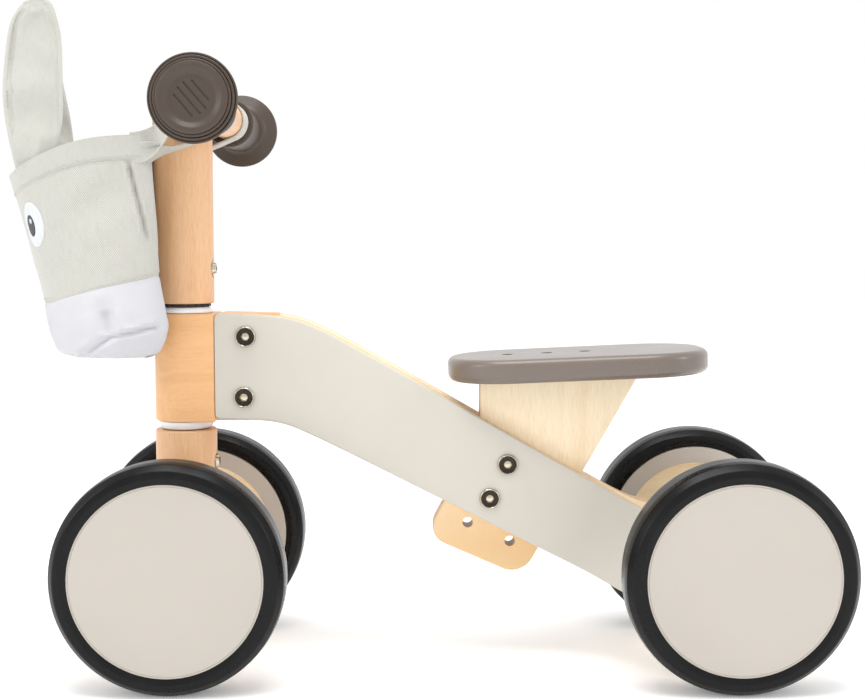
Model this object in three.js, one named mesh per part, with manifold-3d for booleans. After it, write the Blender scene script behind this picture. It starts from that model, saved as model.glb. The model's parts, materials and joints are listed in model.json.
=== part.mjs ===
// A toddler's four-wheel balance bike: two bent side panels carry the seat post, the seat and the rear axle,
// and a wooden head block in front holds the steering column, with its handlebar, fork, wheels and fabric bag.
// Millimetres. +X is forward, +Y is the rider's left, +Z is up. While it is built, the steering axis is the
// Z axis and the floor is z = 0; at the end the whole bike moves so that it stands centred on the origin.

import * as THREE from 'three';
import { mergeVertices } from 'three/addons/utils/BufferGeometryUtils.js';
import Module from 'manifold-3d';

const wasm = await Module();
wasm.setup();

// ---- Driving dimensions ----

const GAP = 0.3;                    // air between pieces that touch

const WHEEL_RADIUS = 75;
const WHEEL_WIDTH = 33;
const RIM_RADIUS = 62;              // where the tyre meets the wooden wheel
const TYRE_SIDES = 36;              // the wheels stand on one flat of this polygon
const DISC_SIDES = 24;
const AXLE_HEIGHT = WHEEL_RADIUS * Math.cos(Math.PI / TYRE_SIDES);
const WHEELBASE = 363;
const FRONT_HALF_WIDTH = 91;        // from the middle to the outer face of the front wheels
const REAR_HALF_WIDTH = 95;
const AXLE_RADIUS = 4;

const BLOCK_BOTTOM = 166.2;         // the head block, which the steering column turns in
const BLOCK_TOP = 239;
const BLOCK_RADIUS = 20.5;
const SHOULDER = -22.5;             // where the side panels butt against the block

const PANEL_THICKNESS = 11.5;
const PANEL_OUTER = 20.5;           // outer face of a side panel, in its straight part
const PANEL_INNER = PANEL_OUTER - PANEL_THICKNESS;
const PANEL_SLOPE = THREE.MathUtils.degToRad(28.6);
const PANEL_FLARE = 30;             // how far the rear ends are bent outwards
const FLARE_LENGTH = 75;
const FLARE_START = { x: -273, z: 95 };
const REAR_END_RADIUS = 27;

const STEM_RADIUS = 20;
const STEM_BOTTOM = 245.5;
const STEM_TOP = 388;
const FORK_RADIUS = 20.8;
const FORK_TOP = 160;
const FORK_BOTTOM = 47;
const SHAFT_RADIUS = 6;
const SHAFT_BOTTOM = 100;
const SHAFT_TOP = 300;
const STEERING_LIMIT = 45;          // degrees each way

const BAR_RADIUS = 12;
const BAR = { x: -25.5, z: 371 };   // the handlebar's axis, behind the stem's
const BAR_HALF_LENGTH = 117;
const BAR_SIDES = 24;
const GRIP_START = 46;
const GRIP_END = 121;
const GRIP_RADIUS = 15.4;
const GRIP_DISC_RADIUS = 27;

const SEAT_THICKNESS = 16;
const SEAT_MIDDLE = { x: -267.5, z: 196.2 };      // on the underside
const SEAT_TILT = THREE.MathUtils.degToRad(2.4);
const SEAT_HALF_LENGTH = 88;
const SEAT_HALF_WIDTH = 50;
const SEAT_TAPER = 3;               // how much narrower each side is at the front
const SEAT_SCREWS = [47, 20, -6];               // ahead of the seat's middle

const BAG_HALF_WIDTH = 58;
const BAG_BOTTOM = 212;
const BAG_WALL = 2.5;
const STRAP_MIDDLE = 32;            // from the bike's middle to the middle of a strap
const STRAP_WIDTH = 20;
const STRAP_THICKNESS = 1.5;

const CONNECTORS = {                // the four bolts through the side panels
  head_upper: { x: -43.4, z: 223.9 },
  head_lower: { x: -42.1, z: 183.2 },
  post_upper: { x: -218.9, z: 137.4 },
  post_lower: { x: -206.9, z: 114.3 },
};
const CONNECTOR_HOLE_RADIUS = 4.4;
const STEM_BOLT_HEIGHT = 269;
const FORK_BOLT_HEIGHT = 137;

// ---- Materials ----

const finish = (color, roughness, metalness = 0) => new THREE.MeshStandardMaterial({ color, roughness, metalness });

const beech = () => finish('#dcaf7d', 0.5);
const birch = () => finish('#f5d7aa', 0.5);
const creamPaint = () => finish('#e4dfd6', 0.45);
const taupePaint = () => finish('#968f88', 0.35);
const tyreRubber = () => finish('#28282a', 0.7);
const gripRubber = () => finish('#766c62', 0.6);
const whitePlastic = () => finish('#f2f2f0', 0.4);
const blackPlastic = () => finish('#2c2a28', 0.5);
const blackNickel = () => finish('#55504a', 0.3, 1);
const steel = () => finish('#b4b4b6', 0.3, 1);
const greyTwill = () => finish('#dcdcd4', 0.9);

// ---- Making and cutting solids ----

// Joins the shared corners, drops collapsed triangles and turns the faces outwards.
function closed(geometry) {
  const bare = geometry.clone();
  bare.deleteAttribute('normal');
  bare.deleteAttribute('uv');
  const merged = mergeVertices(bare, 1e-4);
  const corner = new THREE.Vector3();
  const corners = [new THREE.Vector3(), new THREE.Vector3(), new THREE.Vector3()];
  const kept = [];
  let volume = 0;
  for (let i = 0; i < merged.index.count; i += 3) {
    const triangle = [0, 1, 2].map((k) => merged.index.getX(i + k));
    if (new Set(triangle).size < 3) continue;
    kept.push(triangle);
    triangle.forEach((vertex, k) => corners[k].fromBufferAttribute(merged.getAttribute('position'), vertex));
    volume += corner.crossVectors(corners[0], corners[1]).dot(corners[2]);
  }
  const outward = volume > 0 ? kept : kept.map(([a, b, c]) => [a, c, b]);
  merged.setIndex(outward.flat());
  return merged;
}

function toSolid(geometry) {
  const merged = closed(geometry);
  const vertProperties = new Float32Array(merged.getAttribute('position').array);
  const triVerts = new Uint32Array(merged.index.array);
  return new wasm.Manifold(new wasm.Mesh({ numProp: 3, vertProperties, triVerts }));
}

function toGeometry(solid) {
  const mesh = solid.getMesh();
  const geometry = new THREE.BufferGeometry();
  geometry.setAttribute('position', new THREE.BufferAttribute(mesh.vertProperties, 3));
  geometry.setIndex(new THREE.BufferAttribute(mesh.triVerts, 1));
  return geometry;
}

function cut(body, ...tools) {
  return toGeometry(tools.reduce((solid, tool) => solid.subtract(toSolid(tool)), toSolid(body)));
}

function join(body, ...others) {
  return toGeometry(others.reduce((solid, other) => solid.add(toSolid(other)), toSolid(body)));
}

// Points something made along +Y along another axis instead.
function pointAlong(geometry, axis) {
  if (axis === 'x') geometry.rotateZ(-Math.PI / 2);
  if (axis === 'z') geometry.rotateX(Math.PI / 2);
  return geometry;
}

// A round rod from one place to another along an axis; at gives the other two coordinates in order.
function rod(radius, axis, from, to, at = [0, 0], sides = 12) {
  const geometry = pointAlong(new THREE.CylinderGeometry(radius, radius, to - from, sides), axis);
  const middle = (from + to) / 2;
  if (axis === 'x') return geometry.translate(middle, at[0], at[1]);
  if (axis === 'y') return geometry.translate(at[0], middle, at[1]);
  return geometry.translate(at[0], at[1], middle);
}

// Turns a profile of [radius, place along the axis] pairs about an axis. A flat faces straight down.
function turned(profile, axis, sides) {
  const points = profile.map(([radius, along]) => new THREE.Vector2(radius, along));
  const geometry = new THREE.LatheGeometry(points, sides, Math.PI / sides);
  return pointAlong(geometry, axis);
}

// The same for a hollow profile, which closes on itself.
function turnedRing(profile, axis, sides) {
  return turned([...profile, profile[0]], axis, sides);
}

// An outline of straight edges, with each corner [x, y, radius] rounded.
function outline(corners) {
  const shape = new THREE.Shape();
  corners.forEach(([x, y, radius = 0], i) => {
    const here = new THREE.Vector2(x, y);
    const [beforeX, beforeY] = corners.at(i - 1);
    const [afterX, afterY] = corners[(i + 1) % corners.length];
    const back = new THREE.Vector2(beforeX, beforeY).sub(here).normalize();
    const ahead = new THREE.Vector2(afterX, afterY).sub(here).normalize();
    if (radius === 0) {
      if (i === 0) shape.moveTo(x, y);
      else shape.lineTo(x, y);
      return;
    }
    const halfAngle = Math.acos(back.dot(ahead)) / 2;
    const centre = here.clone().addScaledVector(back.clone().add(ahead).normalize(), radius / Math.sin(halfAngle));
    const reach = radius / Math.tan(halfAngle);
    const start = here.clone().addScaledVector(back, reach).sub(centre);
    const end = here.clone().addScaledVector(ahead, reach).sub(centre);
    const turnsRight = back.cross(ahead) > 0;
    if (i === 0) shape.moveTo(centre.x + start.x, centre.y + start.y);
    else shape.lineTo(centre.x + start.x, centre.y + start.y);
    shape.absarc(centre.x, centre.y, radius, start.angle(), end.angle(), turnsRight);
  });
  return shape;
}

// A board of a given thickness with rounded edges, lying in the XY plane with its underside at z = 0.
function board(shape, thickness, edge, curveSegments = 6, bevelSegments = 2) {
  const geometry = new THREE.ExtrudeGeometry(shape, {
    depth: thickness - 2 * edge,
    bevelThickness: edge,
    bevelSize: edge,
    bevelOffset: -edge,
    bevelSegments,
    curveSegments,
  });
  return geometry.translate(0, 0, edge);
}

// The same board standing in the XZ plane, centred on y = 0.
function uprightBoard(shape, thickness, edge, curveSegments, bevelSegments) {
  return board(shape, thickness, edge, curveSegments, bevelSegments)
    .translate(0, 0, -thickness / 2)
    .rotateX(Math.PI / 2);
}

// A closed skin over a list of rings with equal numbers of points, with a fan over the first and the last.
function loft(rings) {
  const count = rings[0].length;
  const middle = (ring) => ring.reduce((sum, point) => sum.add(point), new THREE.Vector3()).divideScalar(count);
  const points = [...rings.flat(), middle(rings[0]), middle(rings.at(-1))];
  const firstCentre = rings.length * count;
  const index = [];
  for (let j = 0; j < count; j += 1) {
    const next = (j + 1) % count;
    for (let i = 0; i + 1 < rings.length; i += 1) {
      const a = i * count + j;
      const b = i * count + next;
      index.push(a, b, a + count, b, b + count, a + count);
    }
    const last = (rings.length - 1) * count;
    index.push(firstCentre, next, j);
    index.push(firstCentre + 1, last + j, last + next);
  }
  const geometry = new THREE.BufferGeometry().setFromPoints(points);
  geometry.setIndex(index);
  return geometry;
}

// ---- The scene graph ----

const bike = new THREE.Group();

function add(name, geometry, material, parent = bike) {
  const mesh = new THREE.Mesh(closed(geometry), material);
  mesh.name = name;
  parent.add(mesh);
  return mesh;
}

// ---- Head block, bushes and side panels ----

function headBlock() {
  const tenon = PANEL_INNER - GAP;
  const tenonEnd = -64;
  const plan = new THREE.Shape();
  plan.moveTo(tenonEnd, -tenon);
  plan.lineTo(SHOULDER, -tenon);
  plan.lineTo(SHOULDER, -BLOCK_RADIUS);
  plan.absarc(0, 0, BLOCK_RADIUS, -Math.PI / 2, Math.PI / 2, false);
  plan.lineTo(SHOULDER, BLOCK_RADIUS);
  plan.lineTo(SHOULDER, tenon);
  plan.lineTo(tenonEnd, tenon);
  const block = board(plan, BLOCK_TOP - BLOCK_BOTTOM, 1.2, 12, 1).translate(0, 0, BLOCK_BOTTOM);
  const bore = rod(BUSH_RADIUS + GAP, 'z', BLOCK_BOTTOM - 1, BLOCK_TOP + 1, [0, 0], 20);
  const bolts = [CONNECTORS.head_upper, CONNECTORS.head_lower].map(connectorHole);
  return cut(block, bore, ...bolts);
}

function connectorHole({ x, z }) {
  return rod(CONNECTOR_HOLE_RADIUS, 'y', -40, 40, [x, z]);
}

// Flanged bushes press into the block's bore. The upper one has a groove that the steering stop's lug runs in.
const BUSH_RADIUS = 12;
const FLANGE_RADIUS = 18.6;
const FLANGE_THICKNESS = { upper: 4.2, lower: 5.6 };
const BUSH_LENGTH = 20;
const STOP_GROOVE = { inner: 12.4, outer: 16, depth: 1.9 };
const STOP_LUG_HALF_ANGLE = 10;

function bush(flange) {
  const bore = SHAFT_RADIUS + GAP;
  return turnedRing([
    [bore, -BUSH_LENGTH], [BUSH_RADIUS, -BUSH_LENGTH], [BUSH_RADIUS, GAP], [FLANGE_RADIUS, GAP],
    [FLANGE_RADIUS, flange], [bore, flange],
  ], 'z', 20);
}

// Part of a flat ring, centred on the forward direction.
function ringSector(inner, outer, halfAngle, thickness) {
  const half = THREE.MathUtils.degToRad(halfAngle);
  const shape = new THREE.Shape();
  shape.absarc(0, 0, outer, -half, half, false);
  shape.absarc(0, 0, inner, half, -half, true);
  return new THREE.ExtrudeGeometry(shape, { depth: thickness, bevelEnabled: false, curveSegments: 8 });
}

function upperBush() {
  const { inner, outer, depth } = STOP_GROOVE;
  const groove = ringSector(inner, outer, STEERING_LIMIT + STOP_LUG_HALF_ANGLE + 2, depth + 1);
  groove.translate(0, 0, FLANGE_THICKNESS.upper - depth);
  return cut(bush(FLANGE_THICKNESS.upper), groove).translate(0, 0, BLOCK_TOP);
}

function lowerBush() {
  return bush(FLANGE_THICKNESS.lower).rotateX(Math.PI).translate(0, 0, BLOCK_BOTTOM);
}

// How far the bend carries a panel outwards at a distance along its slope, and how steeply it rises there.
function flareAt(distance) {
  const halfTurn = 2 * Math.atan(PANEL_FLARE / FLARE_LENGTH);
  const radius = FLARE_LENGTH / (2 * Math.sin(halfTurn));
  const along = THREE.MathUtils.clamp(distance, 0, FLARE_LENGTH);
  const firstHalf = along < FLARE_LENGTH / 2;
  const fromEnd = firstHalf ? along : FLARE_LENGTH - along;
  const rise = radius - Math.sqrt(radius ** 2 - fromEnd ** 2);
  return {
    offset: firstHalf ? rise : PANEL_FLARE - rise,
    steepness: fromEnd / Math.sqrt(radius ** 2 - fromEnd ** 2),
  };
}

// The lower or the higher of two heights, with a rounded change from one to the other.
function smoothLower(a, b, rounding) {
  return (a + b - Math.hypot(a - b, rounding)) / 2;
}

function smoothHigher(a, b, rounding) {
  return (a + b + Math.hypot(a - b, rounding)) / 2;
}

// The panel's upper and lower edges as seen from the side: level, then down a slope, then level to the axle.
const UPPER_EDGE = { front: 240, bendX: -77, fall: 0.575, rounding: 10 };
const LOWER_EDGE = { front: 168.8, bendX: -67, fall: 0.512, rounding: 7 };
const REAR_ROUNDING = 6;
const PANEL_EDGE = 1.5;             // width of the panel's eased edges

function edgeHeight(edge, x, side) {
  const slope = edge.front + (x - edge.bendX) * edge.fall;
  const lowered = smoothLower(edge.front, slope, edge.rounding);
  const behindAxle = Math.max(0, -WHEELBASE - x);
  const endHeight = Math.sqrt(Math.max(REAR_END_RADIUS ** 2 - behindAxle ** 2, 0));
  const roundEnd = AXLE_HEIGHT + side * endHeight;
  if (behindAxle > 0) return roundEnd;
  return smoothHigher(lowered, roundEnd, REAR_ROUNDING);
}

// A point of a panel's face: across is the distance from the middle of its thickness, before the bend.
function panelPoint(x, z, across) {
  const rearwards = Math.cos(PANEL_SLOPE);
  const downwards = Math.sin(PANEL_SLOPE);
  const distance = (FLARE_START.x - x) * rearwards + (FLARE_START.z - z) * downwards;
  const { offset, steepness } = flareAt(distance);
  const length = Math.hypot(1, steepness);
  const lean = (across * steepness) / length;
  const middle = (PANEL_OUTER + PANEL_INNER) / 2;
  return new THREE.Vector3(x + lean * rearwards, middle + offset + across / length, z + lean * downwards);
}

// The ring of points round a panel at one place along it, with its long edges eased.
function panelSection(x, inset) {
  const top = edgeHeight(UPPER_EDGE, x, 1) - inset;
  const bottom = edgeHeight(LOWER_EDGE, x, -1) + inset;
  const edge = Math.min(PANEL_EDGE, (top - bottom) / 3);
  const half = PANEL_THICKNESS / 2 - inset;
  const lowerCorner = [[bottom, half - edge], [bottom + edge, half]];
  const upperCorner = [[top - edge, half], [top, half - edge]];
  const outer = [...lowerCorner, [(top + bottom) / 2, half], ...upperCorner];
  const inner = outer.map(([z, across]) => [z, -across]).reverse();
  return [...outer, ...inner].map(([z, across]) => panelPoint(x, z, across));
}

function panelStations() {
  const spread = (from, to, count) => Array.from({ length: count }, (_, i) => from + ((to - from) * i) / count);
  const endTurns = [0.2, 0.45, 0.7, 0.88, 0.96];
  return [
    SHOULDER - GAP - PANEL_EDGE,
    ...spread(-60, -96, 6),
    ...spread(-96, -250, 3),
    ...spread(-250, -WHEELBASE, 16),
    -WHEELBASE,
    ...endTurns.map((turn) => -WHEELBASE - REAR_END_RADIUS * Math.sin((turn * Math.PI) / 2)),
  ];
}

function sidePanel(side) {
  const sections = [panelSection(SHOULDER - GAP, PANEL_EDGE), ...panelStations().map((x) => panelSection(x, 0))];
  const axleHole = rod(AXLE_RADIUS + GAP, 'y', 0, 80, [-WHEELBASE, AXLE_HEIGHT]);
  const panel = cut(loft(sections), axleHole, ...Object.values(CONNECTORS).map(connectorHole));
  return panel.scale(1, side, 1);
}

// ---- Seat post, seat and the bolts that hold the frame together ----

const POST_THICKNESS = 2 * (PANEL_INNER - GAP);
const SPARE_HOLES = [[-192.5, 95.6], [-221.3, 82.5]];
const SPARE_HOLE_RADIUS = 3.6;

function seatPost() {
  const topGap = GAP / Math.cos(SEAT_TILT);
  const seatUnderside = (x) => SEAT_MIDDLE.z - (x - SEAT_MIDDLE.x) * Math.tan(SEAT_TILT) - topGap;
  const front = -200.6;
  const rear = -309.5;
  const face = outline([
    [rear, seatUnderside(rear)],
    [-229.5, 57.5, 16],
    [-163.5, 86.5, 13],
    [front, 156, 30],
    [front, seatUnderside(front)],
  ]);
  const post = uprightBoard(face, POST_THICKNESS, 2, 5, 1);
  const bolts = [CONNECTORS.post_upper, CONNECTORS.post_lower].map(connectorHole);
  const spares = SPARE_HOLES.map((place) => rod(SPARE_HOLE_RADIUS, 'y', -20, 20, place));
  const screws = SEAT_SCREWS.map((ahead) => onSeat(rod(SCREW.radius + GAP, 'z', -SCREW.depth - 1, 3, [ahead, 0], 10)));
  return cut(post, ...bolts, ...spares, ...screws);
}

// The seat is made level, with the middle of its underside at the origin, and then set in its tilted place.
function onSeat(geometry) {
  return geometry.rotateY(SEAT_TILT).translate(SEAT_MIDDLE.x, 0, SEAT_MIDDLE.z);
}

const SCREW = { radius: 1.8, headRadius: 3.6, headDepth: 3, sunk: 0.7, depth: 22 };

function seat() {
  const plan = outline([
    [-SEAT_HALF_LENGTH, -SEAT_HALF_WIDTH, 42],
    [SEAT_HALF_LENGTH, -SEAT_HALF_WIDTH + SEAT_TAPER, 44],
    [SEAT_HALF_LENGTH, SEAT_HALF_WIDTH - SEAT_TAPER, 44],
    [-SEAT_HALF_LENGTH, SEAT_HALF_WIDTH, 42],
  ]);
  const slab = board(plan, SEAT_THICKNESS, 7, 6, 2);
  const headFloor = SEAT_THICKNESS - SCREW.sunk - SCREW.headDepth - GAP;
  const holes = SEAT_SCREWS.map((ahead) => join(
    rod(SCREW.radius + GAP, 'z', -1, headFloor + 1, [ahead, 0], 10),
    rod(SCREW.headRadius + GAP, 'z', headFloor, SEAT_THICKNESS + 1, [ahead, 0]),
  ));
  return onSeat(cut(slab, ...holes));
}

function seatScrew(ahead) {
  const top = SEAT_THICKNESS - SCREW.sunk;
  const screw = turned([
    [0, -SCREW.depth], [SCREW.radius, -SCREW.depth + 4], [SCREW.radius, top - SCREW.headDepth],
    [SCREW.headRadius, top - 1], [SCREW.headRadius, top], [0, top],
  ], 'z', 10);
  return onSeat(screw.translate(ahead, 0, 0));
}

// A connector bolt, whose head with a hexagon socket is on the left, and its sleeve nut, from the right.
const CONNECTOR = { headRadius: 7, headThickness: 2.2, shank: 2.9, sleeve: 4, socket: 2.2 };

function connectorHead(inner) {
  const { headRadius, headThickness } = CONNECTOR;
  const seat = PANEL_OUTER + GAP;
  return [
    [inner, seat], [headRadius, seat], [headRadius, seat + headThickness - 0.8],
    [headRadius - 0.8, seat + headThickness], [0, seat + headThickness],
  ];
}

function connectorBolt({ x, z }) {
  const { shank, socket, headThickness } = CONNECTOR;
  const tip = -15;
  const bolt = turned([[0, tip], [shank, tip], ...connectorHead(shank)], 'y', 12);
  const face = PANEL_OUTER + GAP + headThickness;
  return cut(bolt, rod(socket, 'y', face - 1.8, face + 1, [0, 0], 6)).translate(x, 0, z);
}

function connectorNut({ x, z }) {
  const { shank, sleeve, socket, headThickness } = CONNECTOR;
  const mouth = -2;
  const face = PANEL_OUTER + GAP + headThickness;
  const nut = turned([[0, mouth], [sleeve, mouth], ...connectorHead(sleeve)], 'y', 12);
  const thread = rod(shank + GAP, 'y', mouth - 1, PANEL_OUTER - 3, [0, 0], 12);
  const key = rod(socket, 'y', face - 1.8, face + 1, [0, 0], 6);
  return cut(nut, thread, key).rotateZ(Math.PI).translate(x, 0, z);
}

// ---- Axles, spacers and nuts ----

const HUB_INNER = -4.5;             // the hub's faces, measured outwards from the middle of the wheel
const HUB_OUTER = 1.5;
const BEARING = { bore: AXLE_RADIUS + GAP, flange: 11, sleeve: 8, flangeThickness: 1.2 };
const SPACER_RADIUS = 7;
const NUT = { radius: 6.5, thickness: 5 };
const FRONT_WHEEL_MIDDLE = FRONT_HALF_WIDTH - WHEEL_WIDTH / 2;
const REAR_WHEEL_MIDDLE = REAR_HALF_WIDTH - WHEEL_WIDTH / 2;
const AXLE_STUB = HUB_OUTER + NUT.thickness + 2;        // how far an axle runs past the middle of its wheel

function axle(x, wheelMiddle) {
  const end = wheelMiddle + AXLE_STUB;
  return rod(AXLE_RADIUS, 'y', -end, end, [x, AXLE_HEIGHT], 12);
}

function spacer(x, from, to, side = 1) {
  const tube = turnedRing([
    [AXLE_RADIUS + GAP, from], [SPACER_RADIUS, from], [SPACER_RADIUS, to], [AXLE_RADIUS + GAP, to],
  ], 'y', 12);
  return tube.scale(1, side, 1).translate(x, 0, AXLE_HEIGHT);
}

function axleNut(x, wheelMiddle, side) {
  const from = wheelMiddle + HUB_OUTER + 1;
  const nut = rod(NUT.radius, 'y', from, from + NUT.thickness, [0, 0], 6);
  const hole = rod(AXLE_RADIUS + GAP, 'y', from - 1, from + NUT.thickness + 1);
  return cut(nut, hole).scale(1, side, 1).translate(x, 0, AXLE_HEIGHT);
}

// The outer end of a spacer, which stops short of the wheel's bearing.
function spacerEnd(wheelMiddle) {
  return wheelMiddle + HUB_INNER - BEARING.flangeThickness - 2 * GAP;
}

// ---- Wheels: each profile is [radius, distance outwards from the middle of the wheel] ----

const WHEEL_FACE = WHEEL_WIDTH / 2;
const COVER = { inner: 11.3, outer: 15.3 };
const RECESS_RADIUS = 50;

function tyre() {
  const bead = RIM_RADIUS + GAP;
  const shoulder = 4.5;
  return turnedRing([
    [bead, -WHEEL_FACE], [WHEEL_RADIUS - shoulder, -WHEEL_FACE], [WHEEL_RADIUS, -WHEEL_FACE + shoulder],
    [WHEEL_RADIUS, WHEEL_FACE - shoulder], [WHEEL_RADIUS - shoulder, WHEEL_FACE], [bead, WHEEL_FACE],
  ], 'y', TYRE_SIDES);
}

function wheelDisc() {
  const inner = -WHEEL_FACE + 1;
  const outer = COVER.inner - GAP;
  const nutRoom = 14;
  const bore = BEARING.sleeve + GAP;
  return turnedRing([
    [RIM_RADIUS, inner], [RIM_RADIUS, outer], [nutRoom, outer], [nutRoom, HUB_OUTER],
    [bore, HUB_OUTER], [bore, HUB_INNER], [RECESS_RADIUS, HUB_INNER], [RECESS_RADIUS, inner],
  ], 'y', DISC_SIDES);
}

function wheelCover() {
  return turned([
    [0, COVER.inner], [RIM_RADIUS, COVER.inner], [RIM_RADIUS, COVER.outer - 0.6],
    [RIM_RADIUS - 0.6, COVER.outer], [0, COVER.outer],
  ], 'y', DISC_SIDES);
}

function wheelBearing() {
  const { bore, flange, sleeve, flangeThickness } = BEARING;
  const flangeFace = HUB_INNER - GAP;
  return turnedRing([
    [bore, flangeFace - flangeThickness], [flange, flangeFace - flangeThickness], [flange, flangeFace],
    [sleeve, flangeFace], [sleeve, HUB_OUTER + 0.5], [bore, HUB_OUTER + 0.5],
  ], 'y', 12);
}

function addWheel(name, x, wheelMiddle, side) {
  const wheel = new THREE.Group();
  wheel.position.set(x, side * wheelMiddle, AXLE_HEIGHT);
  wheel.rotation.z = side > 0 ? 0 : Math.PI;
  bike.add(wheel);
  add(`${name}_tyre`, tyre(), tyreRubber(), wheel);
  add(`${name}_wheel_disc`, wheelDisc(), birch(), wheel);
  add(`${name}_wheel_cover`, wheelCover(), creamPaint(), wheel);
  add(`${name}_wheel_bearing`, wheelBearing(), whitePlastic(), wheel);
}

// ---- Steering column ----

const BOLT_RADIUS = 3;
const WASHER_RADIUS = 5.6;
const COUNTERBORE = 2;

function columnHole(radius, z) {
  return rod(radius, 'x', -30, 30, [0, z]);
}

function counterbore(columnRadius, z) {
  return rod(WASHER_RADIUS + 0.6, 'x', -columnRadius - 5, -columnRadius + COUNTERBORE, [0, z], 16);
}

function upperStem() {
  const round = 4;
  const stem = turned([
    [0, STEM_BOTTOM], [STEM_RADIUS - 1, STEM_BOTTOM], [STEM_RADIUS, STEM_BOTTOM + 1],
    [STEM_RADIUS, STEM_TOP - round], [STEM_RADIUS - round * 0.3, STEM_TOP - round * 0.3],
    [STEM_RADIUS - round, STEM_TOP], [0, STEM_TOP],
  ], 'z', 28);
  const saddle = rod(BAR_RADIUS + GAP, 'y', -30, 30, [BAR.x, BAR.z], BAR_SIDES);
  const socket = rod(SHAFT_RADIUS + GAP, 'z', STEM_BOTTOM - 1, SHAFT_TOP + 1, [0, 0], 16);
  return cut(stem, saddle, socket, columnHole(BOLT_RADIUS + GAP, STEM_BOLT_HEIGHT),
    counterbore(STEM_RADIUS, STEM_BOLT_HEIGHT), columnHole(BAR_BOLT.shank + GAP, BAR.z), barBoltRecess());
}

function lowerStem() {
  const round = 3;
  const fork = turned([
    [0, FORK_BOTTOM], [FORK_RADIUS - round, FORK_BOTTOM], [FORK_RADIUS, FORK_BOTTOM + round],
    [FORK_RADIUS, FORK_TOP - 1], [FORK_RADIUS - 1, FORK_TOP], [0, FORK_TOP],
  ], 'z', 28);
  const socket = rod(SHAFT_RADIUS + GAP, 'z', SHAFT_BOTTOM - 1, FORK_TOP + 1, [0, 0], 16);
  const axleHole = rod(AXLE_RADIUS + GAP, 'y', -30, 30, [0, AXLE_HEIGHT]);
  return cut(fork, socket, axleHole, columnHole(BOLT_RADIUS + GAP, FORK_BOLT_HEIGHT),
    counterbore(FORK_RADIUS, FORK_BOLT_HEIGHT));
}

function steeringShaft() {
  const shaft = rod(SHAFT_RADIUS, 'z', SHAFT_BOTTOM, SHAFT_TOP, [0, 0], 16);
  return cut(shaft, columnHole(BOLT_RADIUS + GAP, STEM_BOLT_HEIGHT), columnHole(BOLT_RADIUS + GAP, FORK_BOLT_HEIGHT));
}

// A bolt that ties the steering shaft to the wooden column, with its washer face at the rear.
function columnBolt(columnRadius, z) {
  const seat = -columnRadius + COUNTERBORE - GAP;
  const bolt = turned([
    [0, -columnRadius + 5], [BOLT_RADIUS, -columnRadius + 5], [BOLT_RADIUS, -seat], [WASHER_RADIUS, -seat],
    [WASHER_RADIUS, -seat + 1.4], [4.2, -seat + 1.4], [3.4, -seat + 3.4], [0, -seat + 3.4],
  ], 'x', 16);
  const key = rod(1.9, 'x', -seat + 1.6, -seat + 5, [0, 0], 6);
  return cut(bolt, key).rotateZ(Math.PI).translate(0, 0, z);
}

// A toothed friction ring between the stem and the head block, with the lug that stops the steering.
function steeringStop() {
  const teeth = 20;
  const bottom = BLOCK_TOP + FLANGE_THICKNESS.upper + GAP;
  const rim = Array.from({ length: teeth * 2 }, (_, i) => {
    const angle = (i * Math.PI) / teeth;
    const radius = i % 2 ? 16.6 : 17.6;
    return new THREE.Vector2(radius * Math.cos(angle), radius * Math.sin(angle));
  });
  const thickness = STEM_BOTTOM - GAP - bottom;
  const ring = new THREE.ExtrudeGeometry(new THREE.Shape(rim), { depth: thickness, bevelEnabled: false });
  const { inner, outer, depth } = STOP_GROOVE;
  const lugDepth = depth - GAP;
  const lug = ringSector(inner + GAP, outer - GAP, STOP_LUG_HALF_ANGLE, lugDepth + 1).translate(0, 0, -lugDepth);
  const bore = rod(SHAFT_RADIUS + GAP, 'z', -lugDepth - 1, thickness + 1, [0, 0], 16);
  return cut(join(ring, lug), bore).translate(0, 0, bottom);
}

// ---- Handlebar and grips ----

const BAR_BOLT = { shank: 2.6, head: 5, recess: 8 };

function barBoltRecess() {
  return rod(BAR_BOLT.head + 0.6, 'x', STEM_RADIUS - BAR_BOLT.recess, STEM_RADIUS + 2, [0, BAR.z], 16);
}

function handlebar() {
  const bar = rod(BAR_RADIUS, 'y', -BAR_HALF_LENGTH, BAR_HALF_LENGTH, [BAR.x, BAR.z], BAR_SIDES);
  const hole = rod(BAR_BOLT.shank + GAP, 'x', BAR.x - 6, 0, [0, BAR.z], 12);
  return cut(bar, hole);
}

function barBolt() {
  const { shank, head, recess } = BAR_BOLT;
  const seat = STEM_RADIUS - recess + GAP;
  return turned([
    [0, BAR.x - 5], [shank, BAR.x - 5], [shank, seat], [head, seat], [head, seat + 1.6], [head - 1.8, seat + 3],
    [0, seat + 3],
  ], 'x', 12).translate(0, 0, BAR.z);
}

// A rubber grip: an inner collar, a plain tube and a broad stepped disc that guards the end of the bar.
function grip(side) {
  const bore = BAR_RADIUS + GAP;
  const geometry = turned([
    [0, BAR_HALF_LENGTH + GAP], [bore, BAR_HALF_LENGTH + GAP], [bore, GRIP_START], [17, GRIP_START],
    [17, GRIP_START + 3.5], [GRIP_RADIUS, GRIP_START + 5], [GRIP_RADIUS, GRIP_END - 14],
    [GRIP_DISC_RADIUS, GRIP_END - 7], [GRIP_DISC_RADIUS, GRIP_END - 4.5], [20, GRIP_END], [0, GRIP_END],
  ], 'y', BAR_SIDES);
  return geometry.scale(1, side, 1).translate(BAR.x, 0, BAR.z);
}

// ---- Fabric bag, its ears and its straps ----

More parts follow.
